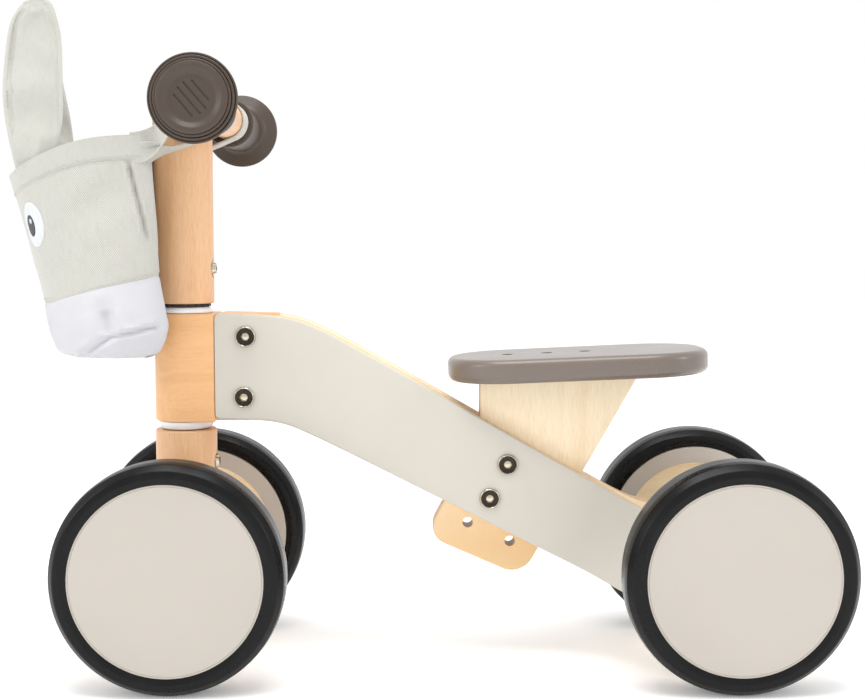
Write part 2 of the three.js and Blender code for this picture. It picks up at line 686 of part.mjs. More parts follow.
// The bag's plan at its base and at its rim, from the middle of the front to the middle of the rear.
const BAG_BASE = [[82, 0], [79, 24], [66, 46], [42, 56], [18, 56], [4, 47], [13, 26], [21.5, 0]];
const BAG_RIM = [[113, 0], [109, 25], [96, 46], [68, 57], [36, BAG_HALF_WIDTH], [14, 53], [18, 27], [22.5, 0]];
const RIM_RISE = 0.255;             // the rim climbs towards the rear
const RIM_ARCH = { height: 7, length: 90 };         // and arches up between the ears and the straps
const RIM_FRONT = { x: 104, z: 331.5 };

function mirrored(half) {
  const others = half.slice(1, -1).map(([x, y]) => [x, -y]).reverse();
  return [...half, ...others];
}

function rimSlope(x) {
  return RIM_FRONT.z + (RIM_FRONT.x - x) * RIM_RISE;
}

function rimHeight(x) {
  const along = THREE.MathUtils.clamp((RIM_FRONT.x - x) / RIM_ARCH.length, 0, 1);
  return rimSlope(x) + RIM_ARCH.height * Math.sin(Math.PI * along);
}

// A ring of the bag: height goes from 0 at the base to 1 at the rim, and inset moves it inwards.
function bagRing(height, inset, floor) {
  const base = mirrored(BAG_BASE);
  const rim = mirrored(BAG_RIM);
  const middle = new THREE.Vector2(THREE.MathUtils.lerp(46, 65, height), 0);
  const corners = base.map(([x, y], i) => new THREE.Vector2(x, y).lerp(new THREE.Vector2(...rim[i]), height));
  const curve = new THREE.SplineCurve([...corners, corners[0]]);
  return curve.getPoints(30).slice(0, -1).map((point) => {
    const outwards = point.clone().sub(middle);
    const placed = middle.clone().addScaledVector(outwards, 1 - inset / outwards.length());
    const z = THREE.MathUtils.lerp(BAG_BOTTOM + floor, rimHeight(placed.x), height);
    return new THREE.Vector3(placed.x, placed.y, z);
  });
}

function bagBody() {
  const levels = [0.05, 0.3, 0.6, 0.85, 1];
  const outside = [bagRing(0, 6, 0), ...levels.map((height) => bagRing(height, 0, 0))];
  const inside = levels.map((height) => bagRing(height, BAG_WALL, BAG_WALL)).reverse();
  return loft([...outside, ...inside, bagRing(0, 8, BAG_WALL)]);
}

// An ear's outline: across and up from the middle of its base.
const EAR_OUTLINE = [[-13.5, 0], [-18.5, 17], [-20.5, 33], [-20.5, 72], [-18, 88], [-14, 98], [-3.5, 103],
  [5.6, 99], [14.5, 88], [18, 72], [21, 47], [20.5, 25], [14, 0]];
const EAR_THICKNESS = 7;
const EARS = {                      // turn is from the bike's length, and nod bends the ear off its own plane
  left: { x: 88, y: 40, turn: -20, lean: 0, nod: 0 },
  right: { x: 90, y: -33, turn: 62, lean: 3, nod: 11 },
};

function ear({ x, y, turn, lean, nod }) {
  const curve = new THREE.SplineCurve(EAR_OUTLINE.map((point) => new THREE.Vector2(...point)));
  const shape = new THREE.Shape(curve.getPoints(26));
  return uprightBoard(shape, EAR_THICKNESS, 2.5, 1, 1)
    .rotateY(THREE.MathUtils.degToRad(lean))
    .rotateX(THREE.MathUtils.degToRad(nod))
    .rotateZ(THREE.MathUtils.degToRad(turn))
    .translate(x, y, rimSlope(x) + 5);
}

// A strap: a band that runs from the bag's rear over the bar, round it and back underneath.
function strap(side) {
  const tight = BAR_RADIUS + GAP;
  const bagEnd = { x: 12, upper: 371, lower: 347 };
  const band = (radius, reach, height) => {
    const path = new THREE.Shape();
    path.moveTo(bagEnd.x + reach, bagEnd.lower - height);
    path.lineTo(bagEnd.x + reach, bagEnd.upper + height);
    path.absarc(BAR.x, BAR.z, radius, THREE.MathUtils.degToRad(72), THREE.MathUtils.degToRad(245), false);
    return path;
  };
  const outer = band(tight + STRAP_THICKNESS, 0, 0);
  outer.holes.push(band(tight, -STRAP_THICKNESS, -STRAP_THICKNESS));
  const geometry = new THREE.ExtrudeGeometry(outer, { depth: STRAP_WIDTH, bevelEnabled: false, curveSegments: 14 });
  return geometry.translate(0, 0, -STRAP_WIDTH / 2).rotateX(Math.PI / 2).translate(0, side * STRAP_MIDDLE, 0);
}

// ---- Assembly ----

const SIDES = { left: 1, right: -1 };

add('head_block', headBlock(), beech());
add('upper_bush', upperBush(), whitePlastic());
add('lower_bush', lowerBush(), whitePlastic());
for (const [name, side] of Object.entries(SIDES)) add(`${name}_side_panel`, sidePanel(side), creamPaint());
for (const [name, place] of Object.entries(CONNECTORS)) {
  add(`${name}_bolt`, connectorBolt(place), blackNickel());
  add(`${name}_nut`, connectorNut(place), blackNickel());
}
add('seat_post', seatPost(), birch());
add('seat', seat(), taupePaint());
SEAT_SCREWS.forEach((ahead, i) => add(`seat_screw_${i + 1}`, seatScrew(ahead), steel()));

const PANEL_OUTER_AT_AXLE = PANEL_OUTER + PANEL_FLARE + GAP;
const PANEL_INNER_AT_AXLE = PANEL_INNER + PANEL_FLARE - GAP;
add('rear_axle', axle(-WHEELBASE, REAR_WHEEL_MIDDLE), steel());
add('rear_middle_spacer', spacer(-WHEELBASE, -PANEL_INNER_AT_AXLE, PANEL_INNER_AT_AXLE), blackPlastic());
add('front_axle', axle(0, FRONT_WHEEL_MIDDLE), steel());
for (const [name, side] of Object.entries(SIDES)) {
  const rearEnd = spacerEnd(REAR_WHEEL_MIDDLE);
  const frontEnd = spacerEnd(FRONT_WHEEL_MIDDLE);
  add(`rear_${name}_spacer`, spacer(-WHEELBASE, PANEL_OUTER_AT_AXLE, rearEnd, side), blackPlastic());
  add(`front_${name}_spacer`, spacer(0, FORK_RADIUS + GAP, frontEnd, side), blackPlastic());
  add(`rear_${name}_axle_nut`, axleNut(-WHEELBASE, REAR_WHEEL_MIDDLE, side), steel());
  add(`front_${name}_axle_nut`, axleNut(0, FRONT_WHEEL_MIDDLE, side), steel());
  addWheel(`front_${name}`, 0, FRONT_WHEEL_MIDDLE, side);
  addWheel(`rear_${name}`, -WHEELBASE, REAR_WHEEL_MIDDLE, side);
}

add('upper_stem', upperStem(), beech());
add('lower_stem', lowerStem(), beech());
add('steering_shaft', steeringShaft(), steel());
add('steering_stop', steeringStop(), blackPlastic());
add('upper_stem_bolt', columnBolt(STEM_RADIUS, STEM_BOLT_HEIGHT), blackNickel());
add('lower_stem_bolt', columnBolt(FORK_RADIUS, FORK_BOLT_HEIGHT), blackNickel());
add('handlebar', handlebar(), beech());
add('handlebar_bolt', barBolt(), blackNickel());
add('bag_body', bagBody(), greyTwill());
for (const [name, side] of Object.entries(SIDES)) {
  add(`${name}_grip`, grip(side), gripRubber());
  add(`${name}_ear`, ear(EARS[name]), greyTwill());
  add(`${name}_strap`, strap(side), greyTwill());
}

// Stand the bike centred over the origin.
const extent = new THREE.Box3().setFromObject(bike);
bike.position.x = -(extent.min.x + extent.max.x) / 2;

export default bike;
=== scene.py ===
"""The looks of a toddler's four-wheel balance bike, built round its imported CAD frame.

Shapes are worked out in millimetres in the bike's own frame: the steering axis is the Z axis, +X is forward,
+Y is the rider's left and the floor is z = 0. The mesh builder turns them into metres in the row frame.
"""

import json
import math

import bmesh
import bpy
from mathutils import Matrix, Vector, noise
from mathutils.kdtree import KDTree


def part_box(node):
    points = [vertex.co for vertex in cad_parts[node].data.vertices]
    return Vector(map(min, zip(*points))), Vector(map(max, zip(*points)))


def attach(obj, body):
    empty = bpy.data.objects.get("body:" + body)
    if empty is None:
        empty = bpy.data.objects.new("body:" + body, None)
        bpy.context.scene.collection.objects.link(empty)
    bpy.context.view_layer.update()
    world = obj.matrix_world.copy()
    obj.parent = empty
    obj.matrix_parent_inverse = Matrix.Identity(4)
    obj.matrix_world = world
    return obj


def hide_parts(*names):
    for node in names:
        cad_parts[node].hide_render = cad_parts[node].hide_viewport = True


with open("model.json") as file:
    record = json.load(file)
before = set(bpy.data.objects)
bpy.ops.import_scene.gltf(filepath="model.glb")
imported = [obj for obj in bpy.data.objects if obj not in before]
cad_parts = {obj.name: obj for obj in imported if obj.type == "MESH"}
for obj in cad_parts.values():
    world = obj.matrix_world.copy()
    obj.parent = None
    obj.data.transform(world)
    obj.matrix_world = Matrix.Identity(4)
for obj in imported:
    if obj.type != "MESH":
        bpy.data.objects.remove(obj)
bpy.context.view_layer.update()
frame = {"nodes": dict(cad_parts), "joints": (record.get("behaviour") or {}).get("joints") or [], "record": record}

# ---- Places and sizes that come from the CAD frame ----

MM = 0.001
STEERING = next(joint for joint in frame["joints"] if joint["name"] == "steering_turn")
ORIGIN = Vector((STEERING["pos_m"][0], 0, 0))
SIDES = {"left": 1, "right": -1}


def span(node, axis):
    """The lowest and highest value of a CAD node along an axis, in the bike's own frame."""
    index = "xyz".index(axis)
    return [(corner[index] - ORIGIN[index]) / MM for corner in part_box(node)]


def middle(node, axis):
    return sum(span(node, axis)) / 2


def size(node, axis):
    low, high = span(node, axis)
    return high - low


AXLE_HEIGHT = middle("front_axle", "z")
REAR_AXLE_X = middle("rear_axle", "x")
STEM_RADIUS = size("upper_stem", "y") / 2
FORK_RADIUS = size("lower_stem", "y") / 2
BLOCK_BOTTOM, BLOCK_TOP = span("head_block", "z")
BLOCK_RADIUS = size("head_block", "y") / 2
BAR_X = middle("handlebar", "x")
BAR_Z = middle("handlebar", "z")
BAR_HALF_LENGTH = size("handlebar", "y") / 2
BAR_RADIUS = 12
GAP = 0.3                           # the clearance between one piece and the next


# ---- Node recipes for materials ----


def srgb(red, green, blue):
    """A linear colour from 0 to 255 values."""
    return [((value / 255 + 0.055) / 1.055) ** 2.4 for value in (red, green, blue)] + [1]


def wave_scale(pitch_mm):
    """The scale of a wave texture whose bands are a distance apart."""
    return math.pi / (10 * pitch_mm * MM)


class Recipe:
    """A material on one Principled shader, with short calls for the nodes that vary over its surface."""

    def __init__(self, name, roughness=0.5, **sockets):
        self.material = bpy.data.materials.new(name)
        self.material.use_nodes = True
        self.tree = self.material.node_tree
        self.shader = self.tree.nodes["Principled BSDF"]
        self.shader.inputs["Roughness"].default_value = roughness
        for socket, value in sockets.items():
            self.shader.inputs[socket.replace("_", " ")].default_value = value
        self.bumps = []

    def node(self, kind, **settings):
        made = self.tree.nodes.new(kind)
        for name, value in settings.items():
            setattr(made, name, value)
        return made

    def link(self, source, target):
        self.tree.links.new(source, target)

    def place(self, scale=(1, 1, 1), turn=(0, 0, 0), source="Object"):
        """Places on the piece: its own metres, or its UV map in metres of cloth."""
        coordinates = self.node("ShaderNodeTexCoord")
        mapping = self.node("ShaderNodeMapping")
        mapping.inputs["Rotation"].default_value = [math.radians(angle) for angle in turn]
        mapping.inputs["Scale"].default_value = scale
        self.link(coordinates.outputs[source], mapping.inputs["Vector"])
        return mapping.outputs["Vector"]

    def texture(self, kind, place, sockets, **settings):
        """The grey level of a texture at places on the piece."""
        made = self.node(kind, **settings)
        for socket, value in sockets.items():
            made.inputs[socket].default_value = value
        self.link(place, made.inputs["Vector"])
        return made.outputs["Fac"]

    def noise(self, place, scale, detail=4, roughness=0.55, distortion=0):
        sockets = {"Scale": scale, "Detail": detail, "Roughness": roughness, "Distortion": distortion}
        return self.texture("ShaderNodeTexNoise", place, sockets)

    def wave(self, place, scale, distortion=0, detail=2, detail_scale=1, direction="X"):
        sockets = {"Scale": scale, "Distortion": distortion, "Detail": detail, "Detail Scale": detail_scale}
        return self.texture("ShaderNodeTexWave", place, sockets, bands_direction=direction)

    def ramp(self, value, stops):
        """Colours or grey levels at places from 0 to 1."""
        made = self.node("ShaderNodeValToRGB")
        elements = made.color_ramp.elements
        while len(elements) < len(stops):
            elements.new(0.5)
        for element, (position, colour) in zip(elements, stops):
            element.position = position
            element.color = colour if hasattr(colour, "__len__") else (colour, colour, colour, 1)
        self.link(value, made.inputs["Fac"])
        return made.outputs["Color"]

    def feed(self, value, socket):
        """Gives a socket its value, which is a number, a colour or a node's output."""
        if isinstance(value, bpy.types.NodeSocket):
            self.link(value, socket)
        else:
            socket.default_value = value

    def mix(self, first, second, share):
        """One colour over another by a share. The node's socket names aren't unique, so numbers find them."""
        made = self.node("ShaderNodeMix", data_type="RGBA")
        for number, value in ((0, share), (6, first), (7, second)):
            self.feed(value, made.inputs[number])
        return made.outputs[2]

    def colour(self, value):
        self.feed(value, self.shader.inputs["Base Color"])

    def gloss(self, value, low, high):
        """Roughness that runs from low to high with a varying value."""
        self.link(self.ramp(value, [(0.3, low), (0.7, high)]), self.shader.inputs["Roughness"])

    def painted_shade_low_down(self, low, high, most):
        """A share of painted shade, for where less light reaches, that grows from nothing at one height, in
        metres, to the most at a lower one.
        """
        height = self.node("ShaderNodeSeparateXYZ")
        self.link(self.place(), height.inputs["Vector"])
        return self.ramp(height.outputs["Z"], [(low, most), (high, 0)])

    def plies(self, pitch_mm):
        """The layers on the edges of a board whose faces look along Y, and nothing on its faces."""
        coordinates = self.node("ShaderNodeTexCoord")
        facing = self.node("ShaderNodeSeparateXYZ")
        self.link(coordinates.outputs["Normal"], facing.inputs["Vector"])
        flatness = self.node("ShaderNodeMath", operation="ABSOLUTE")
        self.link(facing.outputs["Y"], flatness.inputs[0])
        on_edge = self.ramp(flatness.outputs["Value"], [(0.35, 1), (0.8, 0)])
        layers = self.wave(self.place(), wave_scale(pitch_mm), direction="Y")
        return self.mix((0, 0, 0, 1), self.ramp(layers, [(0.35, 0.2), (0.65, 0.95)]), on_edge)

    def bump(self, value, depth_mm, strength=1.0):
        """Relief on top of any relief that the material already has."""
        made = self.node("ShaderNodeBump")
        made.inputs["Strength"].default_value = strength
        made.inputs["Distance"].default_value = depth_mm * MM
        self.link(value, made.inputs["Height"])
        if self.bumps:
            self.link(self.bumps[-1].outputs["Normal"], made.inputs["Normal"])
        self.bumps.append(made)
        self.link(made.outputs["Normal"], self.shader.inputs["Normal"])


# ---- Materials ----

WHITE = (1, 1, 1, 1)
PLY_EDGE = srgb(150, 100, 62)


def wood(name, pale, mid, dark, along="Z", fleck=0.35, bands=0.5, ply_mm=None):
    """Lacquered wood: broad soft bands, fine fibres and short darker flecks, all drawn out along the grain.
    Plywood also shows its layers on its edges, and has shade painted on it low down, where less light reaches it."""
    recipe = Recipe(name, roughness=0.42, Coat_Weight=0.12, Coat_Roughness=0.3, Specular_IOR_Level=0.4)
    long_grain = [0.05 if axis == along else 1 for axis in "XYZ"]
    short_grain = [0.25 if axis == along else 1 for axis in "XYZ"]
    fibres = recipe.noise(recipe.place(long_grain), 2200, detail=5, roughness=0.6)
    broad = recipe.noise(recipe.place(long_grain), 70, detail=3, distortion=0.6)
    flecks = recipe.noise(recipe.place(short_grain), 1500, detail=2, roughness=0.5)
    base = recipe.ramp(broad, [(0.3, mid), (0.5, pale), (0.72, mid)])
    base = recipe.mix(base, dark, recipe.ramp(fibres, [(0.45, 0), (0.8, bands)]))
    base = recipe.mix(base, dark, recipe.ramp(flecks, [(0.66, 0), (0.76, fleck)]))
    if ply_mm:
        # painted shade: the plywood is darkened low down, where less light reaches it
        base = recipe.mix(base, dark, recipe.painted_shade_low_down(low=0.08, high=0.14, most=0.95))
        base = recipe.mix(base, PLY_EDGE, recipe.plies(ply_mm))
    recipe.colour(base)
    recipe.gloss(fibres, 0.36, 0.5)
    recipe.bump(fibres, 0.05)
    return recipe.material


def beech(name="beech", along="Z"):
    pale, mid, dark = srgb(225, 182, 140), srgb(218, 172, 128), srgb(184, 127, 80)
    return wood(name, pale, mid, dark, along, fleck=0.55)


def birch(name="birch", along="Z", ply_mm=None):
    pale, mid, dark = srgb(252, 236, 206), srgb(247, 226, 192), srgb(222, 186, 136)
    return wood(name, pale, mid, dark, along, fleck=0.2, bands=0.55, ply_mm=ply_mm)


def bent_wood():
    """The bare edges of a panel: thin layers of wood that follow its faces."""
    recipe = Recipe("panel_edge_wood", roughness=0.5, Specular_IOR_Level=0.35)
    across = recipe.node("ShaderNodeAttribute", attribute_name="across")
    position = recipe.node("ShaderNodeCombineXYZ")
    recipe.link(across.outputs["Fac"], position.inputs["X"])
    layers = recipe.wave(position.outputs["Vector"], 0.22, distortion=0.4)
    fibres = recipe.noise(recipe.place((0.08, 1, 1), turn=(0, 28, 0)), 1200, detail=4)
    base = recipe.ramp(layers, [(0.2, srgb(226, 188, 146)), (0.7, srgb(241, 212, 176))])
    recipe.colour(recipe.mix(base, srgb(196, 146, 98), recipe.ramp(fibres, [(0.5, 0), (0.85, 0.45)])))
    recipe.bump(fibres, 0.05)
    return recipe.material


def satin_paint(name, colour, shade, roughness=0.42, coat=0.1):
    """Sprayed satin paint, a little uneven, with the finest orange peel."""
    recipe = Recipe(name, roughness=roughness, Coat_Weight=coat, Coat_Roughness=0.35, Specular_IOR_Level=0.4)
    cloudy = recipe.noise(recipe.place(), 14, detail=3)
    peel = recipe.noise(recipe.place(), 900, detail=2)
    recipe.colour(recipe.ramp(cloudy, [(0.3, shade), (0.7, colour)]))
    recipe.gloss(cloudy, roughness - 0.05, roughness + 0.05)
    recipe.bump(peel, 0.02)
    return recipe.material


def rubber(name, colour, worn, roughness, grain_mm=0.06, specular=0.45):
    """Moulded rubber: a fine matt grain and a few paler scuffs."""
    recipe = Recipe(name, roughness=roughness, Specular_IOR_Level=specular)
    scuffs = recipe.noise(recipe.place(), 45, detail=6, roughness=0.7)
    grain = recipe.noise(recipe.place(), 1600, detail=2)
    recipe.colour(recipe.mix(colour, worn, recipe.ramp(scuffs, [(0.52, 0), (0.8, 0.6)])))
    recipe.gloss(scuffs, roughness - 0.06, roughness + 0.08)
    recipe.bump(grain, grain_mm)
    return recipe.material


def plastic(name, colour, shade, roughness=0.4):
    """Moulded plastic with an even, very fine grain."""
    recipe = Recipe(name, roughness=roughness)
    cloudy = recipe.noise(recipe.place(), 60, detail=3)
    grain = recipe.noise(recipe.place(), 1400, detail=2)
    recipe.colour(recipe.ramp(cloudy, [(0.35, shade), (0.65, colour)]))
    recipe.gloss(cloudy, roughness - 0.05, roughness + 0.05)
    recipe.bump(grain, 0.02)
    return recipe.material


def plated(name, colour, shade, roughness):
    """Plated metal with faint polishing marks."""
    recipe = Recipe(name, roughness=roughness, Metallic=1.0)
    marks = recipe.noise(recipe.place((1, 6, 1)), 900, detail=3)
    recipe.colour(recipe.ramp(marks, [(0.3, shade), (0.7, colour)]))
    recipe.gloss(marks, roughness - 0.06, roughness + 0.08)
    recipe.bump(marks, 0.01)
    return recipe.material


def woven(name, colour, shade, twill=True):
    """Cotton cloth: diagonal twill ribs, or a plain weave, over uneven yarn."""
    recipe = Recipe(name, roughness=0.9, Sheen_Weight=0.25, Sheen_Roughness=0.5, Specular_IOR_Level=0.2)
    pitch_mm, rib_turn = (0.8, 52) if twill else (0.45, 90)
    bands = wave_scale(pitch_mm)
    along_ribs = recipe.place(turn=(0, 0, rib_turn), source="UV")
    across_ribs = recipe.place(turn=(0, 0, rib_turn - 90), source="UV")
    ribs = recipe.wave(along_ribs, bands, distortion=1.2, detail_scale=3)
    weft = recipe.wave(across_ribs, bands * 1.7, distortion=1)
    yarn = recipe.noise(recipe.place((1, 0.35, 1), source="UV"), 420, detail=3)
    base = recipe.mix(shade, colour, recipe.ramp(ribs, [(0.1, 0), (0.6, 1)]))
    base = recipe.mix(base, shade, recipe.ramp(yarn, [(0.45, 0), (0.85, 0.35)]))
    recipe.colour(base)
    recipe.bump(ribs, 0.12, 0.7)
    recipe.bump(weft, 0.05, 0.6)
    return recipe.material


CREAM = satin_paint("cream_paint", srgb(198, 193, 183), srgb(194, 189, 179))
WHEEL_PAINT = satin_paint("wheel_paint", srgb(185, 178, 169), srgb(181, 174, 165))
TAUPE = satin_paint("taupe_paint", srgb(111, 99, 90), srgb(106, 95, 87), roughness=0.3, coat=0.6)
BEECH = beech()
BEECH_BLOCK = wood("beech_block", srgb(232, 182, 130), srgb(222, 170, 117), srgb(190, 130, 78), along="X",
                   fleck=0.45, bands=0.35)
BEECH_BAR = beech("beech_bar", along="Y")
BIRCH = birch(ply_mm=2.6)
PANEL_EDGE_WOOD = bent_wood()
PANEL_VENEER = birch("panel_veneer", along="X")
WHEEL_WOOD = birch("wheel_wood", along="X")
TYRE = rubber("tyre_rubber", srgb(10, 10, 11), srgb(26, 26, 27), roughness=0.28, specular=0.2)
GRIP = rubber("grip_rubber", srgb(70, 58, 49), srgb(79, 67, 59), roughness=0.4, grain_mm=0.02)
WHITE_PLASTIC = plastic("white_plastic", srgb(238, 239, 240), srgb(230, 232, 234))
BLACK_PLASTIC = plastic("black_plastic", srgb(40, 38, 36), srgb(34, 32, 31), roughness=0.5)
NICKEL = plated("black_nickel", (0.05, 0.042, 0.035, 1), (0.03, 0.026, 0.022, 1), 0.26)
BRIGHT = plated("bright_nickel", (0.66, 0.59, 0.48, 1), (0.5, 0.44, 0.35, 1), 0.16)
STEEL = plated("zinc_steel", (0.62, 0.62, 0.63, 1), (0.5, 0.5, 0.51, 1), 0.32)
TWILL = woven("grey_twill", srgb(200, 199, 192), srgb(170, 169, 161))
WHITE_CLOTH = woven("white_cloth", srgb(208, 208, 212), srgb(198, 198, 203), twill=False)
THREAD = woven("thread", srgb(208, 208, 202), srgb(190, 190, 184), twill=False)
EYE_WHITE = woven("eye_patch", srgb(218, 221, 222), srgb(210, 213, 215), twill=False)
EYE_DARK = woven("eye_dark", srgb(72, 76, 80), srgb(60, 63, 67), twill=False)


# ---- Making meshes ----

SHARP_ANGLE = 38
CLOTH_SHARP, SEWN_SHARP = 60, 70    # cloth folds without a crisp edge, and seams more so
SAME_PLACE = 1e-6
RECTANGLE = ((-1, -1), (1, -1), (1, 1), (-1, 1))


def add_object(name, data):
    made = bpy.data.objects.new(name, data)
    bpy.context.scene.collection.objects.link(made)
    return made


def build(name, vertices, faces, materials, body, kinds=None, sharp=SHARP_ANGLE, uvs=None):
    """A mesh piece from points in the bike's own frame, in millimetres, which rides on a body."""
    mesh = bpy.data.meshes.new(name)
    mesh.from_pydata([ORIGIN + Vector(vertex) * MM for vertex in vertices], [], faces)
    for material in materials:
        mesh.materials.append(material)
    if kinds is not None:
        mesh.polygons.foreach_set("material_index", kinds)
    if uvs is not None:
        layer = mesh.uv_layers.new(name="cloth")
        for loop in mesh.loops:
            layer.data[loop.index].uv = [value * MM for value in uvs[loop.vertex_index]]
    made = add_object(name, mesh)
    turn_outwards(made, weld=uvs is not None)
    smooth(made, sharp)
    if body is not None:
        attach(made, body)
    return made


def stand_in(node, slot):
    """Puts a piece in the place of a CAD node by hiding the node; its material slot is not used."""
    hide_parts(node)


def turn_outwards(piece, weld=False):
    """Turns the faces outwards, after joining the points that meet where a cloth map wraps round."""
    work = bmesh.new()
    work.from_mesh(piece.data)
    if weld:
        bmesh.ops.remove_doubles(work, verts=work.verts, dist=SAME_PLACE)
    bmesh.ops.recalc_face_normals(work, faces=work.faces)
    work.to_mesh(piece.data)
    work.free()


def smooth(piece, sharp=SHARP_ANGLE):
    """Smooth shading, with edges sharper than an angle kept crisp."""
    piece.data.shade_smooth()
    piece.data.set_sharp_from_angle(angle=math.radians(sharp))


def sheet_faces(rings, count, first=0, wrap=False):
    """Faces between neighbouring rings or rows of points, from the number of the first point."""
    faces = []
    for start in range(first, first + (rings - 1) * count, count):
        for k in range(count if wrap else count - 1):
            j = (k + 1) % count
            faces.append((start + k, start + j, start + count + j, start + count + k))
    return faces


def tube_faces(rings, count, first=0):
    """Faces of a closed body made of rings of points: its two ends, and then its sides."""
    last = first + (rings - 1) * count
    ends = [list(range(start, start + count)) for start in (first, last)]
    return ends + sheet_faces(rings, count, first, wrap=True)


def rounded(corners, steps=5):
    """Points along straight edges, with each corner (x, y, radius) rounded. It works for closed outlines,
    and for open ones whose first and last corners have no radius."""
    points = []
    for i, (x, y, radius) in enumerate(corners):
        here = Vector((x, y))
        if radius == 0:
            points.append(here)
            continue
        back = (Vector(corners[i - 1][:2]) - here).normalized()
        ahead = (Vector(corners[(i + 1) % len(corners)][:2]) - here).normalized()
        half = math.acos(max(-1, min(1, back.dot(ahead)))) / 2
        centre = here + (back + ahead).normalized() * (radius / math.sin(half))
        start = here + back * (radius / math.tan(half)) - centre
        turn = math.pi - 2 * half
        if back.x * ahead.y - back.y * ahead.x > 0:
            turn = -turn
        points += [centre + Matrix.Rotation(turn * k / steps, 2) @ start for k in range(steps + 1)]
    return points


def lathe(profile, sides):
    """Vertices, faces and each face's place in the profile, for a profile turned about the Y axis. A profile
    that starts off the axis closes on itself, and one that starts on it makes a solid."""
    vertices, rings = [], []
    angles = [2 * math.pi * (k + 0.5) / sides for k in range(sides)]
    for radius, along in profile:
        first = len(vertices)
        if radius < SAME_PLACE:
            vertices.append((0, along, 0))
            rings.append([first] * sides)
        else:
            vertices += [(radius * math.cos(angle), along, radius * math.sin(angle)) for angle in angles]
            rings.append(list(range(first, first + sides)))
    faces, segments = [], []
    closed = profile[0][0] > SAME_PLACE
    after = rings[1:] + rings[:1] if closed else rings[1:]
    for segment, (ring, following) in enumerate(zip(rings, after)):
        for k in range(sides):
            j = (k + 1) % sides
            face = list(dict.fromkeys((ring[k], ring[j], following[j], following[k])))
            if len(face) > 2:
                faces.append(face)
                segments.append(segment)
    return vertices, faces, segments


def along_axis(point, axis):
    """Turns something made along +Y to lie along another axis."""
    x, y, z = point
    return {"x": (y, -x, z), "y": (x, y, z), "z": (x, -z, y)}[axis]


def turned(name, profile, axis, centre, materials, body, sides=96, side=1, paint=None):
    """A turned piece. The profile's points are (radius, distance along the axis from centre), side -1 mirrors
    it along the axis, and paint chooses the material from a place on the profile."""
    vertices, faces, segments = lathe(profile, sides)
    placed = []
    for x, y, z in vertices:
        point = along_axis((x, side * y, z), axis)
        placed.append([value + offset for value, offset in zip(point, centre)])
    kinds = None
    if paint:
        after = profile[1:] + profile[:1]
        mids = [((here[0] + there[0]) / 2, (here[1] + there[1]) / 2) for here, there in zip(profile, after)]
        kinds = [paint(*mids[segment]) for segment in segments]
    return build(name, placed, faces, materials, body, kinds=kinds)


def rod(radius, axis, start, end, at, sides=48):
    """A plain round cutter from start to end along an axis; at gives the other two coordinates in order."""
    centre = list(at)
    centre.insert("xyz".index(axis), 0)
    profile = [(0, start), (radius, start), (radius, end), (0, end)]
    return turned("cutter", profile, axis, centre, [], None, sides=sides)


def settled(piece):
    """Applies a piece's modifiers to its mesh."""
    evaluated = piece.evaluated_get(bpy.context.evaluated_depsgraph_get())
    mesh = bpy.data.meshes.new_from_object(evaluated)
    piece.modifiers.clear()
    piece.data = mesh
    return piece


def drill(piece, *cutters):
    """Cuts holes and recesses out of a piece."""
    for cutter in cutters:
        hole = piece.modifiers.new("hole", "BOOLEAN")
        hole.object = cutter
        hole.solver = "EXACT"
    settled(piece)
    for cutter in cutters:
        bpy.data.objects.remove(cutter)
    smooth(piece)


def inset(outline, distance):
    """The closed outline moved inwards, for an outline that runs anticlockwise."""
    moved = []
    for i, here in enumerate(outline):
        before = (here - outline[i - 1]).normalized()
        after = (outline[(i + 1) % len(outline)] - here).normalized()
        mitre = Vector((-before.y - after.y, before.x + after.x)) / (1 + before.dot(after))
        moved.append(here + mitre * distance)
    return moved


def slab(name, outline, low, high, edge, axis, materials, body, steps=4):
    """A board with an anticlockwise outline and rounded edges.
    The outline is in XY for axis z, and in XZ for axis y."""
    quarter = [k / steps * math.pi / 2 for k in range(steps + 1)] if edge else [math.pi / 2]
    levels = [(edge * (1 - math.sin(a)), low + edge * (1 - math.cos(a))) for a in quarter]
    levels += [(gone, high + low - height) for gone, height in reversed(levels)]
    vertices = []
    for gone, height in levels:
        for x, y in inset(outline, gone):
            vertices.append((x, y, height) if axis == "z" else (x, height, y))
    return build(name, vertices, tube_faces(len(levels), len(outline)), materials, body)


# ---- Wheels ----

TYRE_BEAD = 62.3
TYRE_LIP = 61.6
DISC_RADIUS = 61.9
RECESS_RADIUS = 50
RECESS_FLOOR = -4.5
WHEEL_FACE = size("front_left_tyre", "y") / 2


def tyre_profile():
    """A flat tread, round shoulders, and a lip over the edge of the wheel's cover."""
    tread, face, back = AXLE_HEIGHT, WHEEL_FACE, WHEEL_FACE - 1.1
    outer = [
        (tread, 6, 12), (tread - 0.8, face - 5.4, 3), (tread - 4.6, face - 0.6, 3.2),
        (TYRE_BEAD + 3.5, face, 2.5),
    ]
    inner = [(radius, -along, rounding) for radius, along, rounding in reversed(outer)]
    lip = [(TYRE_LIP, face - 0.9, 0.3), (TYRE_LIP, back, 0), (TYRE_BEAD, back, 0)]
    return rounded([(TYRE_BEAD, 1.4 - face, 0.4), *inner, *outer, *lip])


def cover_profile():
    """The painted disc on the outer side, with a fine groove just inside its edge."""
    face, back, groove, groove_floor = 15.3, 11.3, 60.2, 14.9
    return rounded([
        (0, face, 0), (groove, face, 0.2), (groove + 0.15, groove_floor, 0), (groove + 0.5, groove_floor, 0),
        (groove + 0.65, face, 0.2), (DISC_RADIUS, face, 0.4), (DISC_RADIUS, back, 0), (0, back, 0),
    ], steps=3)


